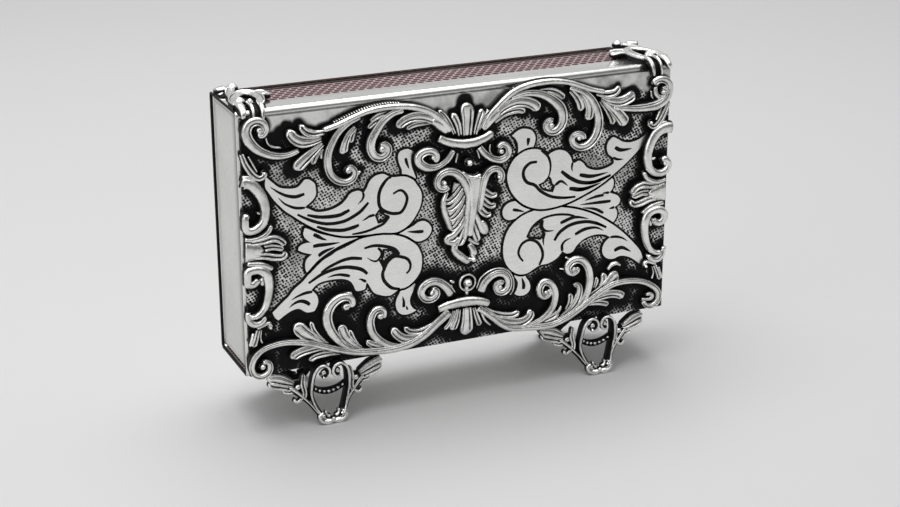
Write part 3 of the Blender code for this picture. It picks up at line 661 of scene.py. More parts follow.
# Drawings of the castings, in mm from the middle and up from the case's foot. A stroke has its
# points, its width at the start, middle and end, its share of the relief and its section.
upperFrieze = {
    "relief": 2.2 * mm,
    "halo": 1.9,  # how far the black, oxide and painted shade, reaches over the plate beside it, in mm
    "full": 1.2,  # a stroke's width over the width of its bright part, as drawn here
    "strokes": [
        ([(-7.3, 54.2), (-5.1, 53.1), (-2.1, 52.3), (0.1, 52.1), (2.3, 52.3), (4.9, 53.1),
          (6.9, 54.3)], (1.7, 2.2, 1.7), 1, "band"),
        ([(0, 54), (0, 58.2), (-0.1, 62.1)], (1.9, 2.6, 3.5), 0.9, "lobe"),
        # left half
        ([(-8.6, 58.3), (-11, 58.4), (-13.2, 58.3), (-14.8, 57.8), (-15.5, 57.3)],
          (0.8, 1.2, 1), 0.6, "feather"),
        ([(-6.8, 57.3), (-9.2, 59.1), (-11.8, 60.1), (-14.4, 60.2), (-16.6, 59.4), (-18.1, 58.1)],
          (1.6, 2.2, 2.1), 0.8, "lobe"),
        ([(-20.3, 62), (-22.7, 61.5), (-24.7, 60.5)], (0.9, 1.4, 0.9), 0.7, "feather"),
        ([(-21.3, 60.8), (-23.3, 60.2), (-25.3, 58.8)], (0.9, 1.3, 0.9), 0.6, "feather"),
        ([(-36.9, 57.8), (-39.4, 57.4), (-41.9, 57.7), (-43.9, 59), (-44.8, 60.8)],
          (1.1, 2.5, 2.1), 0.95, "lobe"),
        ([(-36.2, 59.2), (-38.8, 59.1), (-40.8, 60), (-42, 61.6)], (1, 1.9, 1.3), 0.85, "feather"),
        ([(-36.6, 56.5), (-38.2, 55.4), (-40.2, 54), (-42.1, 52.5), (-43.7, 51)],
          (1, 2.3, 2.7), 0.85, "lobe"),
        ([(-37, 55.2), (-38.4, 53.6), (-39.3, 51.7)], (0.8, 1.3, 1.2), 0.65, "feather"),
        ([(-36.3, 55), (-36.8, 53.6), (-36.7, 52.6)], (0.7, 0.9, 0.8), 0.5, "wire"),
        ([(-28.4, 59.5), (-30, 58), (-31.1, 56), (-31.6, 54), (-31.6, 53.2)],
          (1, 1.5, 2.1), 0.75, "lobe"),
        ([(-28.5, 58.9), (-29.3, 57.1), (-29.6, 55.7)], (0.8, 1.2, 1.2), 0.6, "feather"),
        ([(-4.4, 55.8), (-6.4, 58.3), (-9.4, 60.8), (-13, 62.4), (-17, 63.2), (-21.4, 63.4),
          (-25.4, 63), (-29.2, 61.9), (-33, 60.6), (-36.6, 59.7)], (1.6, 1.3, 1.1), 1, "band"),
        ([(-4.8, 55.8), (-6.9, 57.6), (-9.1, 59.1)], (2.2, 2.6, 1.6), 0.85, "stem"),
        ([(-16.5, 62.2), (-19.1, 61.7), (-21.5, 60.2), (-23.3, 58), (-24.6, 55.8), (-24.8, 53.7),
          (-23.8, 51.9), (-22.1, 51.4), (-20.7, 52.2), (-20.4, 53.6), (-21.3, 54.6),
          (-22.5, 54.3)], (1.4, 2.2, 1.2), 0.95, "stem"),
        ([(-27.4, 61.8), (-30.2, 60.7), (-32.6, 58.9), (-34.2, 56.7), (-35.3, 54.2), (-35.6, 51.6),
          (-35, 49), (-33.3, 47.2), (-31.2, 46.6), (-29.5, 47.3), (-29, 48.7), (-29.7, 50),
          (-30.9, 50)], (1.1, 1.9, 1.1), 1, "stem"),
        ([(-28.6, 47.4), (-27.8, 48.1), (-27.1, 48.6)], (0.8, 0.9, 0.5), 0.5, "wire"),
        ([(-42.6, 55.6), (-45, 54.9), (-47.6, 54.9), (-50.2, 55.7), (-52.6, 57.2), (-54.3, 59.2),
          (-55, 61.4), (-54.3, 63.2), (-52.6, 63.9), (-50.9, 63.2), (-50.3, 61.7), (-51.1, 60.4),
          (-52.5, 60.7)], (1.1, 2.2, 1.3), 1, "stem"),
        ([(-50.1, 59.2), (-49.5, 57.7), (-48.2, 56.9), (-46.4, 56.6)],
          (0.6, 0.7, 0.5), 0.4, "wire"),
        ([(-3.6, 50.7), (-5.2, 48.6), (-7.6, 47.2), (-10.2, 47.3), (-12.2, 48.5), (-12.8, 50.1),
          (-11.6, 51.3), (-9.7, 51.5), (-8.3, 50.6), (-8.1, 49.3), (-9, 48.8)],
          (1.2, 2, 1.4), 1, "stem"),
        ([(-2.1, 49.7), (-2.8, 47.2)], (0.5, 0.6, 0.4), 0.35, "wire"),
        ([(-1.8, 54.2), (-2.4, 57), (-3.7, 59.9)], (0.9, 1.3, 1.6), 0.8, "feather"),
        ([(-3.1, 54.6), (-4.5, 57.6), (-5.9, 59.8), (-7.3, 60.9)],
          (0.8, 0.9, 0.8), 0.65, "feather"),
        # right half
        ([(7.4, 56.5), (9.9, 58.1), (12.4, 58.7), (14.4, 58.6), (15.5, 57.8)],
          (1, 1.5, 1.5), 0.6, "feather"),
        ([(4.8, 55.6), (7.2, 57.9), (10, 59.9), (12.8, 60.8), (15.4, 60.6), (17.7, 59.6),
          (19.2, 58)], (1.4, 2.2, 2.5), 0.8, "lobe"),
        ([(19.3, 62.7), (21.9, 62.6), (24.1, 61.8), (26.1, 60.2)], (1, 1.7, 1.5), 0.7, "feather"),
        ([(20.9, 61.6), (23.1, 61), (25.3, 59.6)], (0.9, 1.4, 1.2), 0.6, "feather"),
        ([(36.1, 59.3), (38.7, 58.2), (41.5, 57.8), (43.8, 58.5), (45.4, 59.6)],
          (1.1, 2.3, 2.5), 0.95, "lobe"),
        ([(34.8, 60.6), (37.6, 59.9), (39.8, 60.2), (41.2, 61.6)], (1.2, 2, 1.4), 0.85, "feather"),
        ([(36.8, 58.1), (38.8, 56.5), (40.6, 54.9), (42.2, 53), (43.3, 51.3)],
          (1, 2.5, 3), 0.85, "lobe"),
        ([(36, 58.3), (37.8, 56.1), (39.1, 53.9), (39.8, 51.9)], (0.8, 1.5, 1.6), 0.65, "feather"),
        ([(30.5, 61), (32.2, 59), (32.9, 56.8), (32.7, 54.9), (32.2, 53.9)],
          (1.1, 1.9, 2.3), 0.75, "lobe"),
        ([(27.8, 61.9), (29.5, 60), (30.5, 58), (30.7, 56.3)], (1.1, 1.7, 1.9), 0.6, "feather"),
        ([(4.4, 55.5), (5.8, 58.1), (7.6, 59.9), (10, 62), (12.4, 63.6), (15.6, 64.6), (19.4, 65),
          (23.2, 64.9), (27, 64.1), (30.4, 62.8), (33.6, 61.6), (37, 60.7)],
          (1.2, 1.4, 1.1), 1, "band"),
        ([(4.1, 55.2), (6.3, 57.5), (8.7, 59.6)], (2, 2.2, 1.4), 0.85, "stem"),
        ([(11.7, 62), (15.5, 62.7), (19.3, 62.1), (22.5, 60.4), (24.7, 58.2), (25.5, 55.7),
          (25, 53.6), (23.3, 52.3), (21.5, 52.7), (20.7, 54.1), (21.6, 55.3), (23, 54.9)],
          (1.1, 2.3, 1.2), 0.95, "stem"),
        ([(27.4, 62.8), (30.5, 61.6), (32.9, 59.7), (34.5, 57.1), (35.3, 54.4), (35.2, 51.7),
          (34.2, 49.3), (32.3, 47.7), (30, 47.5), (28.3, 48.7), (28.1, 50.3), (29.6, 51),
          (31, 50.3), (30.9, 49.2)], (1.1, 2.1, 1.2), 1, "stem"),
        ([(28.4, 47.5), (27.9, 48.7), (27.7, 49.9)], (0.7, 0.8, 0.5), 0.5, "wire"),
        ([(39.6, 56.5), (42.4, 55.9), (45.6, 55.5), (49, 55.4), (52, 55.8), (54.2, 57.2),
          (55.1, 59.3), (54.7, 61.2), (53, 62.2), (51.2, 62), (50.4, 61)],
          (1.1, 2.3, 1.4), 1, "stem"),
        ([(51.3, 60.3), (51.3, 58.7), (52.4, 57.5), (54, 57.6), (54.6, 58.9), (53.9, 60),
          (53, 59.6)], (0.9, 1.3, 0.9), 0.9, "band"),
        ([(50.5, 59.2), (50.6, 57.7), (51.4, 56.6)], (0.5, 0.6, 0.5), 0.4, "wire"),
        ([(3.2, 50.7), (4.6, 48.9), (6.6, 47.4), (8.7, 46.9), (10.4, 47.7), (10.9, 49.2),
          (10.1, 50.5), (8.8, 50.8), (7.9, 49.9)], (1.3, 1.8, 1.1), 1, "stem"),
        ([(6.4, 50.8), (6.2, 49.1), (7.2, 47.9)], (0.5, 0.6, 0.5), 0.4, "wire"),
        ([(3, 49.9), (3.6, 47.5)], (0.5, 0.6, 0.4), 0.35, "wire"),
        ([(2.1, 54), (2.9, 57.2), (4.1, 60.1)], (0.9, 1.4, 1.7), 0.8, "feather"),
        ([(3.1, 55), (4.3, 57.7), (6.1, 59.5)], (0.7, 0.9, 0.8), 0.65, "feather"),
        ([(4.5, 58.2), (5.3, 59.2), (5.4, 59.9)], (0.5, 0.6, 0.5), 0.6, "wire"),
    ],
    "eyes": [(-21.9, 53.4, 1.15), (-30.5, 49.3, 1.15), (-51.8, 61.6, 1.2), (-8.9, 49.7, 0.95),
             (22.4, 53.9, 1.05), (30, 49.7, 0.9), (53.5, 58.8, 0.95), (9, 49, 1)],
}

lowerFrieze = {
    "relief": 2.2 * mm,
    "halo": 4.2,
    "full": 1.2,
    "strokes": [
        ([(-7.7, 10.5), (-4.7, 11.2), (-0.7, 11.5), (3.3, 11), (6.3, 9.8)],
          (1.7, 2.3, 1.7), 1, "band"),
        ([(0, 9.6), (-0.1, 6.1), (-0.4, 2.3)], (2, 2.7, 3.6), 0.85, "lobe"),
        ([(0.3, 11.6), (0.2, 14), (0.2, 15.6)], (0.9, 1, 1), 0.4, "wire"),
        # left half
        ([(-6.7, 8.2), (-9.7, 6.3), (-12.7, 5.4), (-15.1, 5.8), (-16.8, 7.1)],
          (1.1, 1.7, 1.2), 0.75, "feather"),
        ([(-10.2, 5), (-13.3, 4.1), (-16.3, 4.1), (-18.6, 5.5), (-20, 7.5)],
          (1, 2.2, 1.9), 0.85, "lobe"),
        ([(-19.7, 2.3), (-22.7, 2.9), (-25.1, 4), (-26.7, 5.2)], (1, 2.2, 1.2), 0.7, "lobe"),
        ([(-28.2, 3.5), (-30.6, 5.3), (-32.4, 7.7), (-33.2, 10.6)], (1.2, 2.3, 2.3), 0.8, "lobe"),
        ([(-28.7, 4.2), (-30.2, 6.4), (-31, 8.8)], (0.8, 1.3, 1.1), 0.65, "feather"),
        ([(-36.8, 6), (-39.8, 7.8), (-42.6, 10.1), (-44.8, 12.6)], (1.2, 2.8, 3.2), 0.85, "lobe"),
        ([(-36.9, 6.2), (-39.1, 8.6), (-40.3, 10.7), (-40.8, 12.6)],
          (0.9, 1.2, 1), 0.7, "feather"),
        ([(-35.8, 5), (-38.8, 5.8), (-42.3, 5.7), (-44.8, 5), (-46.1, 3.9)],
          (1, 2, 2.2), 0.85, "lobe"),
        ([(-33.7, 3.3), (-36.7, 3.7), (-39.7, 3.5), (-41.6, 2.7)],
          (0.8, 1.4, 1.3), 0.7, "feather"),
        ([(-4.8, 9.3), (-8.2, 6.8), (-11.2, 4.5), (-14.5, 2.9), (-18, 2.2), (-21.5, 2.1),
          (-25.5, 2.4), (-29.5, 3), (-33.4, 4.1), (-37.4, 5.7), (-41.4, 7.3), (-45.4, 8.3),
          (-49.2, 8.5), (-52.8, 7.8), (-55.1, 6), (-56, 3.7), (-55.5, 1.8), (-53.9, 0.9),
          (-52.2, 1.4), (-51.5, 2.9), (-52, 4.3), (-53.4, 4.5)], (2.2, 1.5, 1.2), 1, "stem"),
        ([(-18.5, 2.4), (-21.1, 3.4), (-23.5, 5.1), (-25.2, 7.2), (-25.8, 9.5), (-25.5, 11.6),
          (-24.3, 13.1), (-22.7, 13.1), (-22, 11.8), (-22.6, 10.6)],
          (1.4, 1.9, 1.1), 0.95, "stem"),
        ([(-27.4, 2.9), (-30.8, 4.1), (-33.4, 6.1), (-35.4, 8.7), (-36.6, 11.4), (-36.7, 14.1),
          (-35.4, 16.5), (-33.1, 17.8), (-31, 17.5), (-30.2, 16.1), (-30.9, 14.8)],
          (1.2, 2.2, 1.5), 1, "stem"),
        ([(-37.3, 14.4), (-36.1, 16.8), (-33.9, 18.1), (-31.5, 18.4), (-30, 18.1)],
          (0.6, 0.9, 0.8), 0.7, "wire"),
        ([(-4.2, 13.9), (-5.5, 15.8), (-7.4, 17.5), (-9.6, 18.1), (-11.6, 17.3), (-12.4, 15.6),
          (-11.6, 14.1), (-9.9, 13.6), (-8.4, 14.4), (-8.4, 15.8), (-9.6, 16.3)],
          (2.1, 1.9, 1.1), 1, "stem"),
        ([(-4.4, 17.1), (-3.1, 16.7)], (0.8, 0.9, 0.7), 0.5, "wire"),
        ([(-3.9, 16), (-3.5, 14)], (0.5, 0.6, 0.4), 0.35, "wire"),
        ([(-2.3, 9.5), (-3, 7), (-4.2, 4.2)], (1.1, 1.7, 1.9), 0.8, "lobe"),
        ([(-3.4, 9.3), (-4.5, 6.5), (-6.1, 4.7)], (0.7, 0.9, 0.9), 0.6, "feather"),
        # right half
        ([(4.7, 8.6), (7.1, 7.1), (9.9, 6), (12.5, 5.6), (14.5, 6.3)],
          (1, 1.5, 1.5), 0.75, "feather"),
        ([(5.8, 7.3), (8.6, 5.2), (11.6, 3.8), (14.8, 3.4), (17, 4.4), (17.6, 6.3)],
          (1, 2.3, 2), 0.85, "lobe"),
        ([(21.3, 2.3), (23.1, 3), (24.5, 3.6), (25.3, 4.6)], (1, 1.7, 1.4), 0.7, "feather"),
        ([(24.6, 3.5), (25.6, 4.5), (26.2, 5.9)], (0.8, 0.9, 0.7), 0.6, "wire"),
        ([(26.2, 2.5), (28.6, 4.3), (30.4, 6.7), (31.2, 9.3), (30.7, 10.9), (29.4, 11)],
          (1.2, 1.9, 1), 0.8, "lobe"),
        ([(27.7, 4.4), (28.7, 6.4), (28.8, 8.8)], (0.8, 1.3, 1.3), 0.65, "feather"),
        ([(35.6, 8.9), (36.1, 10.3), (36.4, 11.9)], (0.7, 1.1, 0.9), 0.5, "feather"),
        ([(34.4, 7.3), (37.2, 8.4), (40, 10.4), (42.1, 12.7)], (1.2, 2.7, 3.3), 0.85, "lobe"),
        ([(39.3, 13.6), (40.3, 14.7), (41.7, 15), (42.9, 14.2)], (0.8, 1.1, 0.8), 0.8, "wire"),
        ([(36.9, 8.6), (38.2, 10.7), (38.1, 12.9)], (0.9, 1.6, 1.5), 0.7, "feather"),
        ([(32.6, 4.9), (35.8, 6.3), (39.4, 7), (42.5, 6.5), (44, 5.2)],
          (1, 1.9, 2.1), 0.85, "lobe"),
        ([(33.9, 5), (36.9, 5), (39.9, 4.1)], (0.8, 1.4, 1.4), 0.7, "feather"),
        ([(3, 9.1), (6.4, 6.4), (9.4, 3.7), (12.4, 2.1), (15.8, 1.7), (19.4, 1.3), (23.6, 1.3),
          (27.4, 2.4), (31, 4.2), (34.4, 6.4), (37.6, 8.4), (41, 9.6), (44.4, 9.8), (47.6, 9.4),
          (50.4, 8.4), (52.8, 6.8), (54, 5), (53.8, 3), (52.2, 1.9), (50.5, 2.3), (49.5, 3.5)],
          (1.5, 1.7, 1.2), 1, "stem"),
        ([(49.5, 3.9), (50.8, 3.6), (52.1, 3.7), (52.5, 4.6), (51.5, 5.2), (50.5, 4.8)],
          (0.7, 1, 0.8), 0.8, "band"),
        ([(15.5, 2), (18.5, 2.4), (21.3, 3.6), (23.3, 5.6), (24.2, 8.1), (24, 10.6), (22.7, 12.7),
          (20.9, 13.2), (19.8, 11.7), (20, 10), (21.4, 9.1), (22.7, 10), (22.1, 11.1)],
          (1.3, 1.9, 1.2), 0.95, "stem"),
        ([(25, 2.1), (28, 3), (30.6, 4.6), (32.6, 6.9), (33.7, 9.7), (33.9, 12.5), (33.3, 15.3),
          (31.7, 17.4), (29.6, 17.9), (27.9, 17), (27.5, 15.4), (28.8, 14.3), (30.2, 14.8),
          (30.3, 16.1)], (1.2, 2, 1.3), 1, "stem"),
        ([(27.2, 18.7), (28.3, 18.1), (30.3, 18.2), (32.1, 18)], (0.5, 0.8, 0.6), 0.7, "wire"),
        ([(25.7, 15.8), (26.9, 15.6), (27.9, 15.4)], (0.4, 0.6, 0.6), 0.6, "wire"),
        ([(3.8, 13.3), (4.7, 15.4), (6.4, 17), (8.5, 17.6), (10.3, 16.7), (11.1, 14.9),
          (10.7, 13.1), (9.2, 12.4), (7.8, 13.1), (7.6, 14.6), (8.8, 15.2), (9.8, 14.5)],
          (2, 1.6, 1.2), 1, "stem"),
        ([(2.9, 13.9), (3.9, 16.5), (6.3, 18.1), (9.1, 18.4), (11.5, 17.3), (12.8, 14.9),
          (12.8, 12.5), (11.9, 10.9)], (0.5, 0.6, 0.5), 0.45, "wire"),
        ([(1.9, 9.3), (2.7, 6.4), (3.5, 4.2)], (0.8, 1.3, 1.4), 0.8, "feather"),
        ([(3.5, 8.9), (4.8, 5.7), (6.6, 3.7)], (0.7, 0.8, 0.6), 0.6, "wire"),
    ],
    "eyes": [(-23.1, 11.2, 1.2), (-31.8, 15.1, 1.35), (-53.3, 3.2, 1), (-9.6, 15.2, 0.8),
             (21.5, 10.4, 0.85), (29.4, 15.5, 0.95), (8.8, 13.8, 0.9)],
    "pearls": [(0.3, 16.1, 1.3)],
    "rings": [(0.3, 16.1, 2.1)],
}

centreDrop = {
    "relief": 3.3 * mm,
    "halo": 2.2,
    "full": 1.2,
    "strokes": [
        # the leaf's body, then its flutes
        ([(0.3, 42), (-0.4, 37), (-0.7, 32), (-0.5, 27.4)], (6.4, 7.6, 3.4), 0.3, "band"),
        ([(-1, 41.4), (-3, 39.2), (-5, 38), (-6.1, 38.6)], (1.5, 1.8, 1.3), 0.5, "feather"),
        ([(-0.3, 39.6), (-2.2, 37.4), (-4.2, 36), (-5.4, 36.3)], (1.4, 1.7, 1.3), 0.5, "feather"),
        ([(-0.2, 37.6), (-1.8, 35.2), (-3.6, 33.6), (-4.9, 33.6)], (1.4, 1.7, 1.3), 0.5, "feather"),
        ([(-0.1, 35.2), (-1.6, 32.8), (-3.2, 31), (-4.5, 30.8)], (1.4, 1.7, 1.3), 0.5, "feather"),
        ([(-5.2, 40.4), (-6.2, 38.2), (-6, 35.6), (-5.2, 33), (-4.4, 30.6)],
          (1, 1.4, 1.1), 0.62, "wire"),
        ([(-0.1, 33.2), (-2, 30.8), (-3.7, 29.3), (-5.3, 28.7), (-5.2, 27.7), (-3.6, 27.4),
          (-2, 28.6)], (1.2, 1.5, 1.1), 0.6, "band"),
        ([(-0.2, 31), (-1.4, 28.3), (-2.6, 26.3)], (1.2, 1.8, 1.7), 0.65, "feather"),
        ([(-0.2, 34.1), (0.3, 37.5), (0.1, 39.9), (-0.7, 42.1), (-2, 44.1), (-3.8, 45.5),
          (-5.8, 45.9), (-7.6, 45.1), (-8.3, 43.5), (-7.7, 42.1), (-6.4, 41.8), (-5.4, 42.7)],
          (1.3, 2, 1.3), 0.9, "stem"),
        ([(3.4, 41), (5.2, 39), (6.8, 38), (8.1, 38.5)], (1.4, 1.6, 1.2), 0.5, "feather"),
        ([(3.2, 38.6), (4.8, 36.6), (6.4, 35.4), (7.8, 35.8)], (1.4, 1.6, 1.2), 0.5, "feather"),
        ([(2.8, 36.4), (4, 34.4), (5.4, 33.2), (6.4, 33.8)], (1.4, 1.6, 1.2), 0.5, "feather"),
        ([(2, 34), (3.2, 31.6), (4.2, 29.2), (5, 29), (4.6, 30.8), (3.6, 32)],
          (1.2, 1.5, 1), 0.55, "band"),
        ([(1.4, 31.6), (2.2, 28.8), (3, 26.6)], (1.2, 1.7, 1.4), 0.55, "feather"),
        ([(3.1, 35), (3.6, 39), (4.1, 42), (4.9, 44), (6.4, 45), (7.9, 44.7), (8.7, 43.3),
          (8.4, 42), (7.6, 41.8)], (1.4, 1.8, 1.2), 0.85, "stem"),
        ([(-1.5, 45.2), (-0.3, 44.1), (1.5, 43.6), (3.2, 44.4)], (0.9, 1.4, 0.8), 0.9, "wire"),
        ([(1.6, 43.6), (1.5, 41), (1.3, 38.2), (0.9, 35), (0.4, 31.8), (0, 28.6)],
          (3.4, 1.7, 1.2), 1, "band"),
        ([(0.1, 38.5), (-0.1, 34.5), (-0.6, 30.5), (-1, 27.7)], (0.8, 1.1, 0.9), 0.75, "wire"),
        ([(-3.3, 26.9), (-3.4, 25.3), (-2.1, 23.8), (-0.7, 22.6), (0.7, 21.9)],
          (1.5, 1.9, 1.6), 0.75, "band"),
        ([(0.4, 27.6), (1.9, 26.6), (3.3, 25.9)], (1, 1.2, 0.9), 0.5, "wire"),
        ([(0.4, 26.4), (1.4, 24.7), (1.5, 22.9)], (1.2, 1.6, 1.7), 0.7, "band"),
    ],
    "eyes": [(-6.5, 43.3, 0.95), (7.8, 43, 0.75)],
    "pearls": [(0.2, 47.4, 1.15), (1.2, 22.6, 1.15)],
}

leftBorder = {
    "relief": 2.6 * mm,
    "halo": 2.4,
    "full": 1.25,
    "strokes": [
        ([(-56.2, 56.3), (-55.3, 53.7), (-53.9, 51.4), (-52.4, 50.2), (-51.1, 50.7), (-51, 51.7)],
          (0.9, 1.3, 1), 0.75, "feather"),
        ([(-54.5, 55.5), (-53.5, 53.4), (-52.6, 51.5)], (0.6, 0.7, 0.5), 0.5, "wire"),
        ([(-56.2, 49.3), (-56.2, 49.5), (-54.3, 48.9), (-52.7, 47.2), (-51.6, 44.8), (-51.2, 42.2),
          (-51.8, 39.6), (-53.5, 38.1), (-55.6, 37.9), (-56.2, 39), (-56.2, 40.5), (-56.1, 41.4),
          (-54.9, 41.2)], (2.5, 1.9, 1.4), 1, "band"),
        ([(-56.2, 50.7), (-54.6, 50.7), (-53.2, 49.6)], (0.8, 1, 0.8), 0.7, "wire"),
        ([(-51.5, 41.7), (-52.4, 41.6), (-53.2, 42)], (1, 0.9, 0.5), 0.6, "wire"),
        ([(-56.2, 35.7), (-53.9, 35.5), (-52, 36), (-50.5, 37.2), (-49.9, 38.7)],
          (0.8, 1.3, 1), 0.8, "band"),
        ([(-55.9, 29.6), (-53.3, 29.3), (-51.3, 28.6), (-49.7, 27.5)], (1, 1.4, 1), 0.8, "band"),
        ([(-56.2, 32.6), (-54, 32.5), (-51.6, 32.4)], (4.4, 3.6, 2.6), 0.75, "band"),
        ([(-54.7, 34.7), (-52.1, 34.9), (-49.9, 35.3), (-48, 34.7), (-46.6, 33.2)],
          (1, 1.6, 1.2), 0.95, "feather"),
        ([(-54.1, 31.3), (-51.7, 31.2), (-49.3, 30.6), (-47.4, 30.5), (-46.6, 31.7)],
          (1.2, 1.6, 1.2), 0.95, "feather"),
        ([(-51.6, 32.9), (-49.8, 33.1), (-48.2, 32.7), (-46.9, 32.3)],
          (1.6, 1.3, 1.2), 0.8, "feather"),
        ([(-53.5, 25.4), (-54.7, 24.4), (-56.2, 24.8), (-56.2, 26.3), (-55.9, 27.7), (-53.9, 28.1),
          (-52, 27.3), (-51.1, 25.4), (-51, 22.8), (-51.5, 20.2), (-52.5, 18), (-54.1, 16.6),
          (-56.1, 16.4)], (1.6, 2, 1), 1, "band"),
        ([(-52.2, 26.3), (-52.4, 24.9), (-52.3, 23.5)], (0.9, 1.2, 0.9), 0.6, "wire"),
        ([(-56.2, 17.5), (-56.2, 15.7), (-55, 14.5), (-53.3, 14.7), (-52, 16.2)],
          (1.1, 1.5, 1), 0.85, "band"),
        ([(-54.1, 13.1), (-52.7, 13.7), (-51.5, 14.2), (-50.8, 13.5), (-50.9, 12.6)],
          (0.8, 1, 0.9), 0.7, "wire"),
        ([(-53.9, 12.7), (-54.6, 10.8), (-55.4, 8.6)], (0.9, 1, 1.2), 0.75, "feather"),
        ([(-55, 11.9), (-55.5, 10.1), (-56, 8.7)], (0.7, 0.8, 0.9), 0.55, "wire"),
        ([(-53, 12.4), (-53.3, 10.4), (-52.8, 8.8)], (0.5, 0.5, 0.5), 0.35, "wire"),
    ],
    "pearls": [(-56.2, 40.3, 0.9), (-51.2, 51.4, 0.75), (-51.1, 13.1, 0.7), (-52.9, 25.6, 0.7)],
}

rightBorder = {
    "relief": 2.6 * mm,
    "halo": 2.4,
    "full": 1.25,
    "strokes": [
        ([(55.2, 56.3), (54.1, 53.7), (52.7, 51.4), (51.2, 50.2), (49.9, 50.7), (49.8, 51.7)],
          (0.9, 1.3, 1), 0.75, "feather"),
        ([(53.7, 55.5), (52.7, 53.4), (51.8, 51.5)], (0.6, 0.7, 0.5), 0.5, "wire"),
        ([(56.2, 49.3), (54.5, 49.5), (52.5, 48.9), (50.9, 47.2), (49.8, 44.8), (49.4, 42.2),
          (50, 39.6), (51.7, 38.1), (53.8, 37.9), (55.3, 39), (55.4, 40.5), (54.3, 41.4),
          (53.1, 41.2)], (2.5, 1.9, 1.4), 1, "band"),
        ([(54.9, 50.7), (53.1, 50.7), (51.7, 49.6)], (0.8, 1, 0.8), 0.7, "wire"),
        ([(50.3, 41.7), (51.2, 41.6), (52, 42)], (1, 0.9, 0.5), 0.6, "wire"),
        ([(55, 35.7), (52.6, 35.5), (50.7, 36), (49.2, 37.2), (48.6, 38.7)],
          (0.8, 1.3, 1), 0.8, "band"),
        ([(54.6, 29.6), (52, 29.3), (50, 28.6), (48.4, 27.5)], (1, 1.4, 1), 0.8, "band"),
        ([(55.1, 32.6), (52.5, 32.5), (50.1, 32.4)], (4.4, 3.6, 2.6), 0.75, "band"),
        ([(53, 34.7), (50.4, 34.9), (48.2, 35.3), (46.3, 34.7), (44.9, 33.2)],
          (1, 1.6, 1.2), 0.95, "feather"),
        ([(52.4, 31.3), (50, 31.2), (47.6, 30.6), (45.7, 30.5), (44.9, 31.7)],
          (1.2, 1.6, 1.2), 0.95, "feather"),
        ([(50.1, 32.9), (48.3, 33.1), (46.7, 32.7), (45.4, 32.3)],
          (1.6, 1.3, 1.2), 0.8, "feather"),
        ([(51.7, 25.4), (52.9, 24.4), (54.5, 24.8), (55, 26.3), (54.1, 27.7), (52.1, 28.1),
          (50.2, 27.3), (49.3, 25.4), (49.2, 22.8), (49.7, 20.2), (50.7, 18), (52.3, 16.6),
          (54.3, 16.4)], (1.6, 2, 1), 1, "band"),
        ([(51, 26.3), (51.2, 24.9), (51.1, 23.5)], (0.9, 1.2, 0.9), 0.6, "wire"),
        ([(55.3, 17.5), (54.9, 15.7), (53.5, 14.5), (51.8, 14.7), (50.5, 16.2)],
          (1.1, 1.5, 1), 0.85, "band"),
        ([(53.1, 13.1), (51.7, 13.7), (50.5, 14.2), (49.8, 13.5), (49.9, 12.6)],
          (0.8, 1, 0.9), 0.7, "wire"),
        ([(52.9, 12.7), (53.6, 10.8), (54.4, 8.6)], (0.9, 1, 1.2), 0.75, "feather"),
        ([(54.2, 11.9), (54.7, 10.1), (55.2, 8.7)], (0.7, 0.8, 0.9), 0.55, "wire"),
        ([(52.6, 12.4), (52.9, 10.4), (52.4, 8.8)], (0.5, 0.5, 0.5), 0.35, "wire"),
    ],
    "pearls": [(54.4, 40.3, 0.9), (49.9, 51.4, 0.75), (49.9, 13.1, 0.7), (51.4, 25.6, 0.7)],
}


def beadRow(points, spacing=0.66, radius=0.26):
    line = smoothLine(points, 0.1)
    along = lengthsAlong(line)
    stops = np.arange(0, along[-1], spacing)
    return [(np.interp(stop, along, line[:, 0]), np.interp(stop, along, line[:, 1]), radius)
            for stop in stops]


# small beads along the top of both arches
upperFrieze["beads"] = (
    beadRow([(-17.5, 64), (-20.5, 64.3), (-25, 63.9), (-29, 62.9), (-33.6, 61.3)])
    + beadRow([(8.6, 61.5), (10.4, 63), (12.6, 64.4)]))


def makeFaceCasting(name, drawing, node):
    casting = Casting(name)
    faceStrokes(casting, drawing)
    faceBosses(casting, drawing)
    casting.finish(node)


makeFaceCasting("upperScrollFrieze", upperFrieze, "upper_frieze")
makeFaceCasting("lowerScrollFrieze", lowerFrieze, "lower_frieze")
makeFaceCasting("leafPendant", centreDrop, "centre_drop")
makeFaceCasting("leftScrollBorder", leftBorder, "left_border")
makeFaceCasting("rightScrollBorder", rightBorder, "right_border")
print("face castings made")


facePlate = {
    "cell": 0.42 * mm,
    "nearest": 9,  # how many places under castings can blacken a place on the plate
    # stains on the smooth strip: across, up and half their width, in mm
    "stains": [(-48.4, 65.3, 0.3), (-47.2, 65.3, 0.35), (-46, 65.2, 0.3), (-41.6, 65.3, 0.3),
               (-48.2, 58.6, 1.3), (-46.4, 60.2, 1), (-45.2, 61.8, 0.6)],
    # lower edge of the smooth strip along the top, in mm, and how softly it ends
    "stripX": [0, 3, 5, 8, 12, 16, 20.5, 25.5, 30, 34, 38, 44, 50, 56.5],
    "stripZ": [62.4, 60.6, 58.4, 59.4, 62, 63.3, 63.7, 63, 61.6, 60.4, 59.8, 60.4, 58.6, 58],
    "stripSoftness": 0.8,
    # the black on the strip is held back, more so towards the right, from this place on, over so
    # many mm
    "stripLift": 0.1,
    "stripLiftRight": 0.3,
    "stripLiftFrom": -25,
    "stripLiftOver": 15,
}


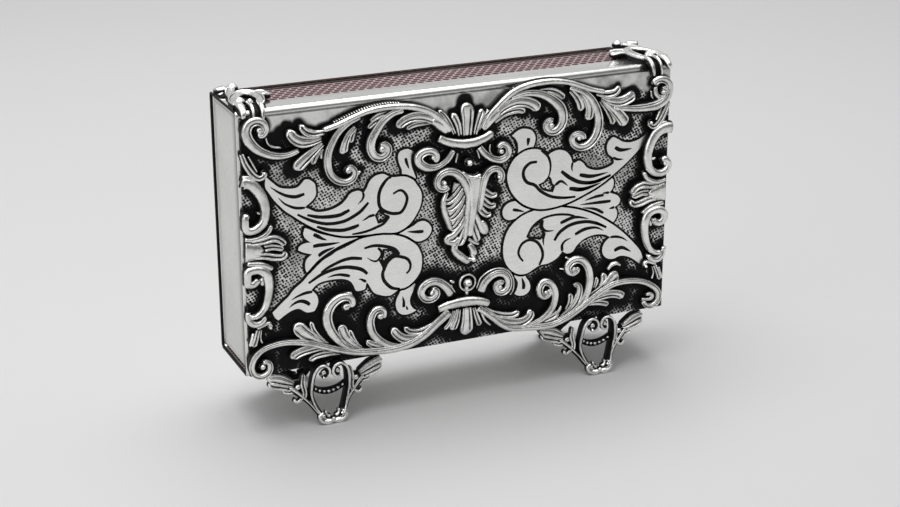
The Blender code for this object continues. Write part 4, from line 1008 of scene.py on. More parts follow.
def makeFacePlate():
    settings = facePlate
    width = plateHigh.x - plateLow.x
    height = plateHigh.z - plateLow.z
    bpy.ops.object.select_all(action="DESELECT")
    bpy.ops.mesh.primitive_grid_add(
        size=1, x_subdivisions=round(width / settings["cell"]),
        y_subdivisions=round(height / settings["cell"]),
        location=(0, plateLow.y, (plateLow.z + plateHigh.z) / 2), rotation=(math.pi / 2, 0, 0))
    plate = bpy.context.object
    plate.name = "stippledFacePlate"
    plate.scale = (width, height, 1)
    bpy.ops.object.transform_apply(location=True, rotation=True, scale=True)
    bpy.ops.object.mode_set(mode="EDIT")
    bpy.ops.mesh.select_mode(type="EDGE")
    bpy.ops.mesh.select_all(action="SELECT")
    bpy.ops.mesh.region_to_loop()
    bpy.ops.mesh.extrude_edges_move(TRANSFORM_OT_translate={
        "value": (0, plateHigh.y - plateLow.y, 0)})
    bpy.ops.mesh.edge_face_add()
    bpy.ops.mesh.select_all(action="SELECT")
    bpy.ops.mesh.normals_make_consistent(inside=False)
    bpy.ops.object.mode_set(mode="OBJECT")
    shadeAndStainSpots.extend((x, z, half, 2 * half) for x, z, half in settings["stains"])
    tree = kdtree.KDTree(len(shadeAndStainSpots))
    for index, (x, z) in enumerate(spot[:2] for spot in shadeAndStainSpots):
        tree.insert((x, 0, z), index)
    tree.balance()
    dark = []
    smooth = []
    for vertex in plate.data.vertices:
        x = vertex.co.x / mm
        z = (vertex.co.z - caseFoot) / mm
        shade = 0
        for _, index, gap in tree.find_n((x, 0, z), settings["nearest"]):
            half, halo = shadeAndStainSpots[index][2:]
            shade = max(shade, 1 - (gap - half) / halo)
        stripEdge = np.interp(abs(x), settings["stripX"], settings["stripZ"])
        strip = ease((z - stripEdge) / settings["stripSoftness"])
        right = ease((x - settings["stripLiftFrom"]) / settings["stripLiftOver"])
        stripLift = (settings["stripLift"] + settings["stripLiftRight"] * right) * strip
        dark.append(float(ease(shade - stripLift)))
        smooth.append(float(strip))
    for name, values in (("dark", dark), ("smooth", smooth)):
        plate.data.attributes.new(name, "FLOAT", "POINT").data.foreach_set("value", values)
    smoothShade(plate, 40)
    hand(plate, "ground", "case", "silver_sheet", "front_plate")


makeFacePlate()
print("face plate made")


# Engraved leaves. Each is a flat bright shape over a slightly larger black one, with its lines
# and the edges of the leaves above it cut through to the black. Drawn in mm from the middle and
# up from the foot. A third number in an outline marks a sharp corner. Lines run from thick to
# thin, short ones above all. The two halves were engraved by hand and differ.
engraving = {
    "blackSheet": 0.12 * mm,
    "brightSheet": 0.18 * mm,
    "thinner": 0.95,  # share of its step that a bright sheet fills, so that no faces coincide
    "blackThinner": 0.9,
    "outline": 0.58,  # how far the black shows round a leaf, in mm
    "outlineStep": 0.4,
    "line": 0.8,  # width of a full line
    # a line's widths late along it and at its end, as shares, and what counts as short, in mm
    "shortLine": 10,
    "shortTaper": (0.55, 0.15),
    "longTaper": (0.9, 0.6),
}

rightLeaves = [
    {
        "name": "rightInnerBudLeaf", "level": 0,
        "outline": [(18.5, 33.2), (15.2, 35), (12.9, 35.3), (11.2, 34.9), (10.1, 33.7),
                    (10, 32.2), (10.7, 31.1), (12, 30.6), (13.8, 30.9), (15.5, 31.4),
                    (18.5, 31.8)],
        "lines": [([(12.7, 33.2), (14.2, 32.8), (15.9, 32.2)], 1)],
    },
    {
        "name": "rightOuterBudLeaves", "level": 0,
        "outline": [(24, 32.6), (29, 34.4), (34, 37), (39, 38.6, 1), (40.5, 37.4), (40.7, 36),
                    (40.3, 34.8), (39.5, 34, 1), (40.7, 33.5), (41.9, 32.9), (42.7, 31.7),
                    (42.3, 30.6), (41.1, 29.9, 1), (41.8, 28.9), (41.9, 27.7), (41.3, 26.4),
                    (39.6, 24.6, 1), (35, 27.6), (30, 30), (24, 31.8)],
        "lines": [
            ([(38, 33.6), (35.5, 33.4), (32.6, 32.8)], 1),
            ([(40, 31.7), (36, 31.8), (31.3, 31.9)], 1.1),
            ([(38, 28.8), (35.5, 30.2), (32.1, 31)], 1),
            ([(39.5, 34), (37.6, 34.1)], 0.9),
            ([(41.1, 29.9), (39.6, 29.7)], 0.9),
        ],
    },
    {
        "name": "rightLowerAcanthus", "level": 1,
        "outline": [(22.5, 32.4), (18.5, 32.1), (14.9, 31), (12, 28.7), (10.5, 25.6),
                    (10.2, 22.2), (10.9, 19.4), (12.5, 17.2), (14.6, 15.9), (16.8, 15.8),
                    (18.6, 16.6), (20.3, 17.4), (22.8, 17.6), (25.1, 18.6), (26.6, 20.2, 1),
                    (28, 19.4), (29.5, 19.7), (30.7, 21.2), (32.6, 22.6), (35.5, 23.3),
                    (38.3, 23), (40.2, 22, 1), (38.8, 21), (38, 19.4), (38.2, 17.7),
                    (39.4, 16.4), (41.2, 16), (43.2, 16.5), (45.8, 15.8), (48.2, 14.1),
                    (50, 12.6, 1), (49.3, 16.4), (46.7, 19.8), (43.2, 23.3), (39.8, 26),
                    (35.5, 28.7), (30.9, 30.7), (26.4, 31.9)],
        "pockets": [[(16.7, 25.4), (17.6, 27.3), (19.3, 28.8), (21, 29.4, 1), (20.8, 27.7),
                     (21.6, 26.3), (21.3, 24.8), (20.3, 24.1, 1), (18.9, 24.6), (17.6, 24.8)]],
        "lines": [
            ([(20.2, 17.5), (21.1, 19.6), (20.8, 21.7), (19.4, 23.8), (17.3, 24.6),
              (15.3, 23.8), (14.4, 21.9), (14.8, 20.4), (15.7, 19.2)], 1),
            ([(29.9, 29.1), (27.8, 29.8), (24.4, 30.2), (20.9, 29.7), (18.2, 28), (16.6, 25.4)],
             0.8),
            ([(21, 29.3), (20.8, 27.5), (22, 26.3), (24.2, 26.1)], 1),
            ([(21.6, 26), (21.2, 24), (21.4, 22.5)], 0.9),
            ([(26.6, 20.2), (26.5, 21.8), (27.4, 22.9), (29, 23.4)], 1),
            ([(25.9, 27.8), (29.8, 28.8), (33.8, 27.9)], 1.2),
            ([(24.3, 23.4), (25.9, 25.5), (29, 27), (32.8, 27.2), (35.9, 26.4), (39, 24.8)],
             1.2),
            ([(30.1, 24.2), (32.8, 25.2), (35.9, 25.2), (38.2, 24.1)], 1.2),
            ([(40.2, 22), (41.8, 21.9), (43.6, 21.3), (45.2, 20.2)], 0.9),
            ([(41.4, 18.2), (43.6, 18.7), (46.3, 17.2)], 1.3),
        ],
    },
    {
        "name": "rightLowerSprig", "level": 0,
        "outline": [(13.2, 17.6), (13.4, 15.6), (14.3, 13.8), (14.1, 12.2), (13.4, 10.8, 1),
                    (14.8, 10.1), (16.5, 10.2), (17.7, 11.4), (17.5, 13.3), (16.4, 15.2),
                    (16.4, 17.6)],
        "lines": [([(15.9, 11.7), (15.9, 13.1), (15.4, 14.8)], 1.2)],
    },
    {
        "name": "rightUpperSprig", "level": 1,
        "outline": [(13.4, 46), (14, 48), (13.9, 50), (13.2, 51.4), (12.3, 52.2, 1),
                    (13.9, 53.3), (15.6, 53.6), (17.6, 52.9), (18.6, 51.3), (18.5, 49.6),
                    (17.8, 47.9), (17.6, 46)],
        "lines": [([(16.8, 51.1), (16.7, 50.2), (16.6, 49.1)], 1.2)],
    },
    {
        "name": "rightUpperAcanthus", "level": 2,
        "outline": [(17.9, 48.1), (15.4, 47.7), (13, 46.2), (11.5, 43.7), (11.2, 41),
                    (12.5, 37.5), (15.3, 34.4), (19, 32.6), (22.8, 32.2), (27.8, 32.9),
                    (32.8, 34.6), (37.5, 36.7), (42.5, 40), (45.9, 42.7), (48.4, 45.3),
                    (50, 48.4, 1), (47.6, 47), (45.2, 46.5), (43.2, 46.8), (41.6, 47.7),
                    (40.2, 48.4), (38.9, 47.4), (38.5, 45.8), (39, 44.2), (40.3, 43.1, 1),
                    (40.5, 41.6), (38.4, 40.6), (35.7, 40.4), (33.2, 41.3), (31.9, 42.8),
                    (30.7, 43.5), (29.6, 43.1), (28.9, 43.4, 1), (28.3, 45), (27, 46.4),
                    (25.2, 47), (23.4, 46.7), (22.2, 46, 1), (20.3, 47.5)],
        "pockets": [[(19.6, 38.8, 1), (21.2, 39.4), (22.5, 40.7, 1), (23.2, 39.8), (23.6, 38.5),
                     (24.4, 38, 1), (23.7, 36.2, 1), (21.9, 36.7), (20.5, 37.4)]],
        "lines": [
            ([(20.3, 47.5), (22.1, 45.8), (22.9, 43.4), (22.5, 40.7), (21.2, 39.4)], 0.9),
            ([(19.2, 44.7), (17.3, 44.6), (15.8, 43.4), (15.5, 41.6), (16.5, 39.8),
              (18.7, 38.7), (20.4, 36.9), (23.2, 35.2), (26.5, 34.4), (30, 34.2)], 1.1),
            ([(24.3, 38), (25.9, 38.8), (27.8, 37.4)], 1),
            ([(29, 43.3), (28.8, 42), (29, 40.9)], 0.8),
            ([(25.9, 41.4), (28.6, 39.2), (31.7, 37.7), (35.5, 37.4), (39.8, 38.6)], 1.3),
            ([(31, 39.8), (34.4, 39), (39, 39.4)], 1.3),
            ([(28.2, 36.6), (32.1, 35.9), (37.1, 36.9)], 1.4),
            ([(40.3, 43.1), (41.5, 42.5), (43.3, 42.3)], 0.9),
            ([(40.8, 45.7), (42.5, 44.8), (45.6, 44.8)], 1.3),
        ],
    },
]


leftLeaves = [
    {
        "name": "leftInnerBudLeaf", "level": 0,
        "outline": [(-18, 31.5), (-15.6, 32.1), (-13.7, 32.8), (-12.6, 33.5), (-11.3, 33.7),
                    (-10.3, 33.3), (-9.5, 32.5), (-9, 31.4), (-9.3, 30.3), (-10.1, 29.3),
                    (-11.1, 28.8), (-12.1, 28.6), (-13.4, 28.9), (-15.4, 30.4)],
        "lines": [([(-11.1, 31), (-12.6, 31.1), (-14, 31.3), (-15.3, 31.5)], 1.1)],
    },
    {
        "name": "leftOuterBudLeaves", "level": 0,
        "outline": [(-40.6, 35.9, 1), (-41.3, 36.2, 1), (-41.7, 35), (-41.5, 34), (-40.9, 33.2),
                    (-39.9, 32.4, 1), (-41.2, 32.4), (-42.3, 32.1), (-43, 31.5),
                    (-43.1, 30.9, 1), (-42.3, 30.4), (-41.2, 29.9), (-39.7, 29.4, 1),
                    (-40.7, 28.7), (-41.3, 27.9), (-41.5, 26.8), (-41.4, 25.6),
                    (-41.1, 25, 1), (-38, 27.8), (-34, 30), (-29, 31.6), (-25, 32),
                    (-30, 32.2), (-34, 33), (-37.5, 34.2)],
        "lines": [
            ([(-39.2, 34.3), (-38.2, 33.7), (-37, 32.9), (-35.9, 32.4)], 1.2),
            ([(-39.4, 31.3), (-38, 31.4), (-36, 31.3), (-34, 31.3), (-32.6, 31.3)], 1.2),
            ([(-38.1, 28.7), (-37.2, 29.3), (-36, 29.8), (-34, 30.3)], 1.2),
        ],
    },
    {
        "name": "leftLowerAcanthus", "level": 1,
        "outline": [(-19.8, 31.5), (-16.7, 30.4), (-15.3, 29.6), (-13.8, 28.5), (-12.8, 27.5),
                    (-12.2, 26.4), (-11.7, 25), (-11.6, 23.6), (-11.7, 22), (-12.1, 20.7),
                    (-12.8, 19.6), (-13.8, 18.5), (-15.1, 17.6), (-16.2, 17.2), (-17.2, 17.1),
                    (-18.3, 16.7, 1), (-19.1, 16.2), (-20, 15.8), (-21.4, 15.9), (-22.6, 16.3),
                    (-23.7, 16.8), (-24.4, 17.4), (-25, 18.4), (-25.6, 19.6),
                    (-26.1, 20.2, 1), (-26.3, 19.2), (-26.5, 18.5), (-27.2, 18.3),
                    (-28.6, 18.3), (-29.1, 18.9), (-29.5, 20), (-30.3, 21.1), (-31.8, 21.9),
                    (-34, 22.2), (-36, 22.2), (-37.6, 22), (-39, 21.4), (-40.1, 20.4, 1),
                    (-39.4, 19.6), (-38.7, 18.6), (-38.5, 17.2), (-38.8, 16.1), (-39.5, 15),
                    (-40.4, 14.8), (-41.5, 14.9), (-42.4, 15.5), (-43.3, 16.1), (-44.6, 16.1),
                    (-46, 15.6), (-47.4, 14.8), (-48.6, 14, 1), (-49.4, 14.8), (-50, 16.2, 1),
                    (-48.7, 17.3), (-47.2, 18.6), (-45.8, 19.7), (-44.8, 20.9), (-43.6, 21.9),
                    (-42.2, 22.9), (-41, 24.1), (-39.8, 25.1), (-38.2, 26.5), (-36.7, 27.6),
                    (-34.9, 28.4), (-33.5, 29.2), (-31.9, 29.7), (-30, 30.4), (-27.8, 31.3),
                    (-25.8, 31.6), (-22, 31.7)],
        "pockets": [[(-21.8, 28.1, 1), (-20, 27.8), (-18.8, 27.2), (-17.7, 26, 1), (-18.6, 26),
                     (-19.9, 25.4), (-20.9, 24.4), (-21.4, 23.4, 1), (-21.8, 24.4),
                     (-22.3, 25.4, 1), (-21.9, 26.5)]],
        "lines": [
            ([(-17.4, 17), (-19.4, 17.6), (-20.6, 18.6), (-21.6, 20), (-21.9, 21.6),
              (-21.5, 22.8), (-20.8, 24.2), (-19.8, 25.2), (-18.6, 25.7), (-17.2, 25.4),
              (-15.8, 24.8), (-15, 24), (-14.6, 22.8), (-14.9, 21.6), (-15.7, 20.8)], 1.1),
            ([(-17.5, 25.9), (-18, 26.8), (-18.8, 27.6), (-20, 28.2), (-21.4, 28.7),
              (-23, 29.1), (-24.6, 29.2), (-26.5, 28.9)], 1.1),
            ([(-23, 28.5), (-22.2, 27.6), (-22.1, 26.6), (-22.6, 25.8), (-23.5, 25.2),
              (-24.6, 25.5), (-25.8, 26.4)], 0.9),
            ([(-22.6, 25.4), (-22, 24.4), (-21.7, 23.2), (-21.8, 22)], 1),
            ([(-27.1, 26.4), (-28.6, 26.7), (-30, 26.9), (-32, 26.7), (-34, 26.1), (-36, 25.3),
              (-37.6, 24.4)], 1.1),
            ([(-25.8, 22.3), (-27.4, 23.7), (-30, 24.6), (-32, 24.9), (-34, 24.8), (-36, 24.4),
              (-38, 23.7), (-40.8, 22.2)], 1.2),
            ([(-30.3, 22.4), (-31.4, 22.8), (-33, 23.2), (-34.6, 23.2), (-36, 22.9)], 1),
            ([(-26.2, 20.3), (-26.6, 20.6), (-27.4, 21.1), (-28.1, 21.3)], 0.9),
            ([(-39.9, 19.9), (-41.2, 19.9), (-42.4, 19.7), (-44, 19.2), (-45.2, 18.6)], 1),
            ([(-40.6, 16.7), (-41.4, 17.4), (-42.4, 17.9), (-43.4, 18), (-44.6, 17.6),
              (-45.8, 16.8)], 1.2),
        ],
    },
    {
        "name": "leftLowerSprig", "level": 0,
        "outline": [(-16.8, 18), (-17.6, 15.9), (-18.3, 14.7), (-18.6, 13.4), (-18.4, 12),
                    (-17.8, 10.9), (-16.9, 10.3), (-15.8, 10.1), (-14.4, 10.3),
                    (-13.2, 10.8, 1), (-14.1, 11.5), (-14.7, 12.5), (-14.9, 13.6),
                    (-14.6, 14.8), (-14, 16), (-13.6, 18)],
        "lines": [([(-16.5, 12.1), (-16.5, 13.6), (-16.8, 15)], 1),
                  ([(-15.5, 11.3), (-15.9, 12.4)], 0.7)],
    },
    {
        "name": "leftUpperSprig", "level": 1,
        "outline": [(-16.2, 45.6), (-16.6, 47.4), (-17.2, 48.9), (-17.5, 50.4), (-17.3, 51.5),
                    (-16.5, 52.1), (-15.2, 52.3), (-14.2, 51.9), (-13.4, 51.2, 1),
                    (-14.1, 50.2), (-14.2, 48.8), (-13.9, 47.4), (-13.4, 46), (-13.2, 44.6)],
        "lines": [([(-15.6, 50.1), (-15.2, 48.6), (-14.7, 47.3)], 1)],
    },
    {
        "name": "leftUpperAcanthus", "level": 2,
        "outline": [(-50.4, 50, 1), (-48.1, 47.7), (-47, 46.9), (-45.6, 46.5), (-44, 46.3),
                    (-42.7, 46.5), (-41.8, 47.2), (-41.2, 47.9), (-40.7, 48.1), (-40, 48),
                    (-39.2, 47.5), (-38.5, 46.7), (-38.3, 45.4), (-38.3, 44.1), (-38.8, 43.2),
                    (-39.5, 42.5), (-41.2, 41.3, 1), (-40, 40.7), (-38.4, 39.8),
                    (-36.8, 39.6), (-35.2, 39.7), (-33.9, 40), (-32.6, 40.5), (-31.6, 41.1),
                    (-30.6, 42.1), (-30, 42.9), (-29.2, 43.4), (-27.8, 43.6), (-27.1, 43.3),
                    (-26.5, 42.7, 1), (-26, 43.4), (-25.5, 44.1), (-25, 45.2), (-24.4, 46),
                    (-23.5, 46.6), (-22.4, 46.9), (-21.3, 46.9), (-20.4, 46.4),
                    (-19.4, 45.8, 1), (-18.2, 45.7), (-17, 45.7), (-15.7, 45.5), (-14.6, 45),
                    (-13.6, 44.3), (-12.7, 43), (-11.9, 41.7), (-11.5, 40.3), (-11.6, 38.8),
                    (-12, 37.3), (-12.7, 36), (-13.6, 34.6), (-14.7, 33.4), (-15.9, 32.6),
                    (-17, 32.1), (-18.2, 31.8), (-19.8, 31.9), (-22, 32.2), (-26, 32.3),
                    (-30, 32.6), (-32, 32.9), (-34, 33.5), (-36, 34.3), (-38, 35.3),
                    (-40, 36.5), (-42, 37.9), (-44, 39.5), (-45.9, 41), (-47.2, 42.4),
                    (-48.6, 44.1), (-49.6, 45.7), (-50.6, 47.6)],
        "pockets": [[(-22.5, 38.3, 1), (-23.7, 36.9, 1), (-23.3, 35.8), (-22.9, 34.6, 1),
                     (-21.6, 34.8), (-20.5, 35.5), (-19.8, 36.2, 1), (-20.9, 36.8),
                     (-21.9, 37.7)]],
        "lines": [
            ([(-41.1, 44.6), (-42, 44.4), (-43.2, 44.2), (-44.4, 44.4), (-45.8, 44.9),
              (-47.2, 45.7), (-48.4, 46.6), (-49.4, 47.4)], 1.1),
            ([(-41.1, 41.2), (-42.6, 41.3), (-43.8, 41.6), (-45, 42.2), (-46.2, 43),
              (-47.6, 44.6)], 0.9),
            ([(-30, 39.1), (-31, 38.7), (-32.4, 38.2), (-34, 38.1), (-36, 38.2), (-38, 38.5),
              (-40.6, 39.3)], 1.2),
            ([(-25.2, 40.3), (-27.2, 38.4), (-28.8, 37.5), (-30.4, 36.8), (-32, 36.4),
              (-34, 36.3), (-36, 36.5), (-38, 37.1), (-40, 38), (-41.6, 38.9), (-43, 39.8)],
             1.1),
            ([(-27.7, 35), (-28.8, 34.7), (-30.4, 34.4), (-32, 34.3), (-34, 34.6),
              (-36, 35.1), (-38.3, 36.1)], 1.2),
            ([(-19.9, 36), (-21.4, 34.5), (-23, 33.9), (-25, 33.3), (-27, 33), (-29.5, 32.9)],
             0.9),
            ([(-19.3, 45.9), (-20.2, 45.6), (-21.2, 44.6), (-22, 43.4), (-22.5, 42),
              (-22.6, 40.6), (-22.5, 39.4), (-22, 38.3), (-21, 37.5), (-19.8, 36.9),
              (-18.6, 36.6), (-17.2, 36.6), (-16.4, 37.2), (-15.7, 38.4), (-15.3, 39.8),
              (-15.5, 40.8), (-16.1, 41.7), (-16.8, 42.2), (-17.6, 42.2), (-18.9, 41.6)],
             1.1),
            ([(-23.7, 37), (-25, 36.8), (-26, 36.3), (-26.9, 35.9)], 0.9),
            ([(-26.6, 43), (-26.4, 42.2), (-26.8, 41.2), (-27.9, 40.2)], 0.8),
        ],
    },
]


def lineShape(points, width):
    # outline of an engraved line, blunt at its start and thin at its end
    line = smoothLine(points, curveStep)
    along = lengthsAlong(line)
    share = along / along[-1]
    short = along[-1] < engraving["shortLine"]
    late, last = engraving["shortTaper" if short else "longTaper"]
    half = width / 2 * np.interp(share, (0, 0.12, 0.35, 0.8, 1), (0.75, 1, 1, late, last))
    ahead = np.gradient(line, axis=0)
    ahead /= np.linalg.norm(ahead, axis=1)[:, None]
    across = np.stack([-ahead[:, 1], ahead[:, 0]], axis=1) * half[:, None]
    return np.concatenate([line + across, (line - across)[::-1]])


def flatShape(name, outlines, front, thickness, grow=0):
    # a flat sheet cut to these outlines, whose face lies at front
    curve = bpy.data.curves.new(name, "CURVE")
    curve.dimensions = "2D"
    curve.fill_mode = "BOTH"
    curve.extrude = thickness / 2
    for number, outline in enumerate(outlines):
        ahead = np.roll(outline, -1, axis=0) - np.roll(outline, 1, axis=0)
        ahead /= np.linalg.norm(ahead, axis=1)[:, None]
        x, z = outline.T
        turning = np.sum(x * np.roll(z, -1) - np.roll(x, -1) * z)
        outside = np.stack([ahead[:, 1], -ahead[:, 0]], axis=1) * np.sign(turning)
        moved = outline + outside * (grow if number == 0 else -grow)
        if grow:
            # without the loops that a grown outline makes at its inward corners
            gaps = np.linalg.norm(moved[:, None] - outline[None], axis=2).min(axis=1)
            moved = moved[gaps > 0.95 * grow]
        spline = curve.splines.new("POLY")
        spline.points.add(len(moved) - 1)
        spline.use_cyclic_u = True
        for point, (x, z) in zip(spline.points, moved):
            point.co = (x * mm, z * mm + caseFoot, 0, 1)
    sheet = bpy.data.objects.new(name, curve)
    bpy.context.scene.collection.objects.link(sheet)
    selectOnly(sheet)
    bpy.ops.object.convert(target="MESH")
    sheet.rotation_euler = (math.pi / 2, 0, 0)
    sheet.location = (0, front + thickness / 2, 0)
    bpy.ops.object.transform_apply(location=True, rotation=True, scale=True)
    bpy.ops.object.mode_set(mode="EDIT")
    bpy.ops.mesh.select_all(action="SELECT")
    bpy.ops.mesh.remove_doubles(threshold=0.01 * mm)
    bpy.ops.mesh.normals_make_consistent(inside=False)
    bpy.ops.object.mode_set(mode="OBJECT")
    return sheet


def leafOutlines(leaf):
    return [closedLine(outline, engraving["outlineStep"])
            for outline in [leaf["outline"]] + leaf.get("pockets", [])]


def makeEngravedLeaf(leaf, leaves):
    settings = engraving
    outlines = leafOutlines(leaf)
    blackFront = faceY - settings["blackSheet"]
    brightFront = blackFront - settings["brightSheet"]
    black = flatShape(leaf["name"] + "Black", outlines, blackFront,
                      settings["blackThinner"] * settings["blackSheet"], settings["outline"])
    bright = flatShape(leaf["name"], outlines, brightFront,
                       settings["thinner"] * settings["brightSheet"])
    through = (brightFront - settings["brightSheet"], 3 * settings["brightSheet"])
    cutters = [
        flatShape("cutter", [lineShape(points, share * settings["line"])], *through)
        for points, share in leaf["lines"]
    ]
    cutters += [
        flatShape("cutter", leafOutlines(other)[:1], *through, settings["outline"])
        for other in leaves if other["level"] > leaf["level"]
    ]
    for cutter in cutters:
        # one at a time, as cutters may cross each other
        cut = bright.modifiers.new("engraved line", "BOOLEAN")
        cut.object = cutter
        cut.operation = "DIFFERENCE"
    applyAll(bright)
    for cutter in cutters:
        bpy.data.objects.remove(cutter, do_unlink=True)
    for thing, finish in ((bright, "engraved"), (black, "oxide")):
        smoothShade(thing, 30)
        hand(thing, finish, "case", "silver_sheet")


for leaves in (rightLeaves, leftLeaves):
    for leaf in leaves:
        makeEngravedLeaf(leaf, leaves)
print("engraving made")


# Sheet case, card box and matches

def selectFaces(thing, wanted):
    # edit mode with only the faces selected whose normal passes the test
    selectOnly(thing)
    bpy.ops.object.mode_set(mode="EDIT")
    bpy.ops.mesh.select_mode(type="FACE")
    bpy.ops.mesh.select_all(action="DESELECT")
    shape = bmesh.from_edit_mesh(thing.data)
    for face in shape.faces:
        face.select = wanted(face.normal)
    bmesh.update_edit_mesh(thing.data)


def selectLongEdges(thing):
    # edit mode with only the edges selected that run along X
    selectOnly(thing)
    bpy.ops.object.mode_set(mode="EDIT")
    bpy.ops.mesh.select_mode(type="EDGE")
    bpy.ops.mesh.select_all(action="DESELECT")
    shape = bmesh.from_edit_mesh(thing.data)
    for edge in shape.edges:
        edge.select = abs(edge.verts[0].co.x - edge.verts[1].co.x) > mm
    bmesh.update_edit_mesh(thing.data)


def makeBlock(name, low, high):
    bpy.ops.object.select_all(action="DESELECT")
    low, high = Vector(low), Vector(high)
    bpy.ops.mesh.primitive_cube_add(size=1, location=(low + high) / 2)
    block = bpy.context.object
    block.name = name
    block.scale = high - low
    bpy.ops.object.transform_apply(location=True, rotation=True, scale=True)
    return block


def openFaces(thing, wanted):
    selectFaces(thing, wanted)
    bpy.ops.mesh.delete(type="FACE")
    bpy.ops.object.mode_set(mode="OBJECT")


def addWall(thing, thickness):
    wall = thing.modifiers.new("wall", "SOLIDIFY")
    wall.thickness = thickness
    wall.offset = -1
    wall.use_even_offset = True


def addBevel(thing, width, segments=3, degrees=40):
    bevel = thing.modifiers.new("soft edges", "BEVEL")
    bevel.width = width
    bevel.segments = segments
    bevel.limit_method = "ANGLE"
    bevel.angle_limit = math.radians(degrees)


def makeTube(name, low, high, settings):
    # a sheet bent round the long edges of a box and open at both ends
    tube = makeBlock(name, low, high)
    selectLongEdges(tube)
    bpy.ops.mesh.bevel(offset=settings["edgeRadius"], segments=settings["bends"],
                       affect="EDGES")
    bpy.ops.object.mode_set(mode="OBJECT")
    openFaces(tube, lambda normal: abs(normal.x) > 0.9)
    addWall(tube, settings["wall"])
    return tube


sheetCase = {
    "wall": 0.6 * mm,
    "edgeRadius": 1.2 * mm,
    "bends": 10,
    "burr": 0.12 * mm,
    # metal left round the window
    "endRim": 6.5 * mm,
    "frontRim": 6.5 * mm,
    "backRim": 1.1 * mm,
}


def makeSheetCase():
    settings = sheetCase
    case = makeTube("silverSheetCase", caseLow, caseHigh, settings)
    overrun = settings["wall"] * 3
    cutter = makeBlock(
        "cutter",
        (caseLow.x + settings["endRim"], caseLow.y + settings["frontRim"], caseTop - overrun),
        (caseHigh.x - settings["endRim"], caseHigh.y - settings["backRim"], caseTop + overrun))
    window = case.modifiers.new("striker window", "BOOLEAN")
    window.operation = "DIFFERENCE"
    window.object = cutter
    addBevel(case, settings["burr"], 2, 60)
    applyAll(case)
    bpy.data.objects.remove(cutter, do_unlink=True)
    smoothShade(case, 35)
    hand(case, "sheet", "case", "silver_sheet", "case_sleeve")


makeSheetCase()

cardBox = {
    "wall": 0.5 * mm,
    "edgeRadius": 0.35 * mm,
    "bends": 4,
    "cutEdge": 0.08 * mm,
    "trayEdge": 0.12 * mm,
    "strikerEdge": 0.05 * mm,
}


def makeCardSleeve():
    sleeve = makeTube("cardSleeve", *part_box("matchbox_sleeve"), cardBox)
    addBevel(sleeve, cardBox["cutEdge"], 2, 60)
    applyAll(sleeve)
    smoothShade(sleeve, 40)
    hand(sleeve, "card", "matchbox", "card", "matchbox_sleeve")


def makeCardTray():
    tray = makeBlock("cardTray", *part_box("matchbox_tray"))
    openFaces(tray, lambda normal: normal.y < -0.9)
    addWall(tray, cardBox["wall"])
    addBevel(tray, cardBox["trayEdge"])
    applyAll(tray)
    smoothShade(tray, 40)
    hand(tray, "card", "tray", "card", "matchbox_tray")


def makeStrikerStrip(name, node):
    strip = makeBlock(name, *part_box(node))
    addBevel(strip, cardBox["strikerEdge"], 2)
    applyAll(strip)
    smoothShade(strip, 40)
    hand(strip, "striker", "matchbox", "striker", node)


makeCardSleeve()
makeCardTray()
makeStrikerStrip("topStrikingStrip", "top_striker_strip")
makeStrikerStrip("bottomStrikingStrip", "bottom_striker_strip")

matchDrawing = {
    "stick": 2.8 * mm,
    "stickEdge": 0.15 * mm,
    "head": 7.5 * mm,
    "headWidth": 4.5 * mm,
    "tip": 1.5 * mm,  # length of head beyond the stick's end
    "swell": 0.2,  # how much fuller the head is towards its tip
    "count": 9,
}


def makeMatch(number):
    settings = matchDrawing
    node = "match_%d" % number
    low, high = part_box(node)
    middle = (low + high) / 2
    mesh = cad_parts[node].data
    fat = [vertex.co.x for vertex in mesh.vertices
           if abs(vertex.co.z - middle.z) > settings["stick"] * 0.6]
    way = 1 if sum(fat) / len(fat) > middle.x else -1  # the head's end
    half = settings["stick"] / 2
    start = low.x if way > 0 else low.x + settings["tip"]
    end = high.x - settings["tip"] if way > 0 else high.x
    stick = makeBlock("splint%d" % number, (start, middle.y - half, middle.z - half),
                      (end, middle.y + half, middle.z + half))
    addBevel(stick, settings["stickEdge"], 2)
    applyAll(stick)
    smoothShade(stick, 40)
    hand(stick, "splint", "tray", "match_wood", node)
    headMiddle = (high.x if way > 0 else low.x) - way * settings["head"] / 2
    bpy.ops.object.select_all(action="DESELECT")
    bpy.ops.mesh.primitive_uv_sphere_add(segments=24, ring_count=14, radius=0.5,
                                         location=(headMiddle, middle.y, middle.z),
                                         rotation=(0, math.pi / 2 * way, 0))
    head = bpy.context.object
    head.name = "matchHead%d" % number
    head.scale = (settings["headWidth"], settings["headWidth"], settings["head"])
    bpy.ops.object.transform_apply(location=True, rotation=True, scale=True)
    for vertex in head.data.vertices:
        share = (vertex.co.x - headMiddle) / settings["head"] * way
        swell = 1 - settings["swell"] / 2 + settings["swell"] * share
        vertex.co.y = middle.y + (vertex.co.y - middle.y) * swell
        vertex.co.z = middle.z + (vertex.co.z - middle.z) * swell
    smoothShade(head)
    hand(head, "head", "tray", "match_wood")


for number in range(1, matchDrawing["count"] + 1):
    makeMatch(number)
print("card box and matches made")


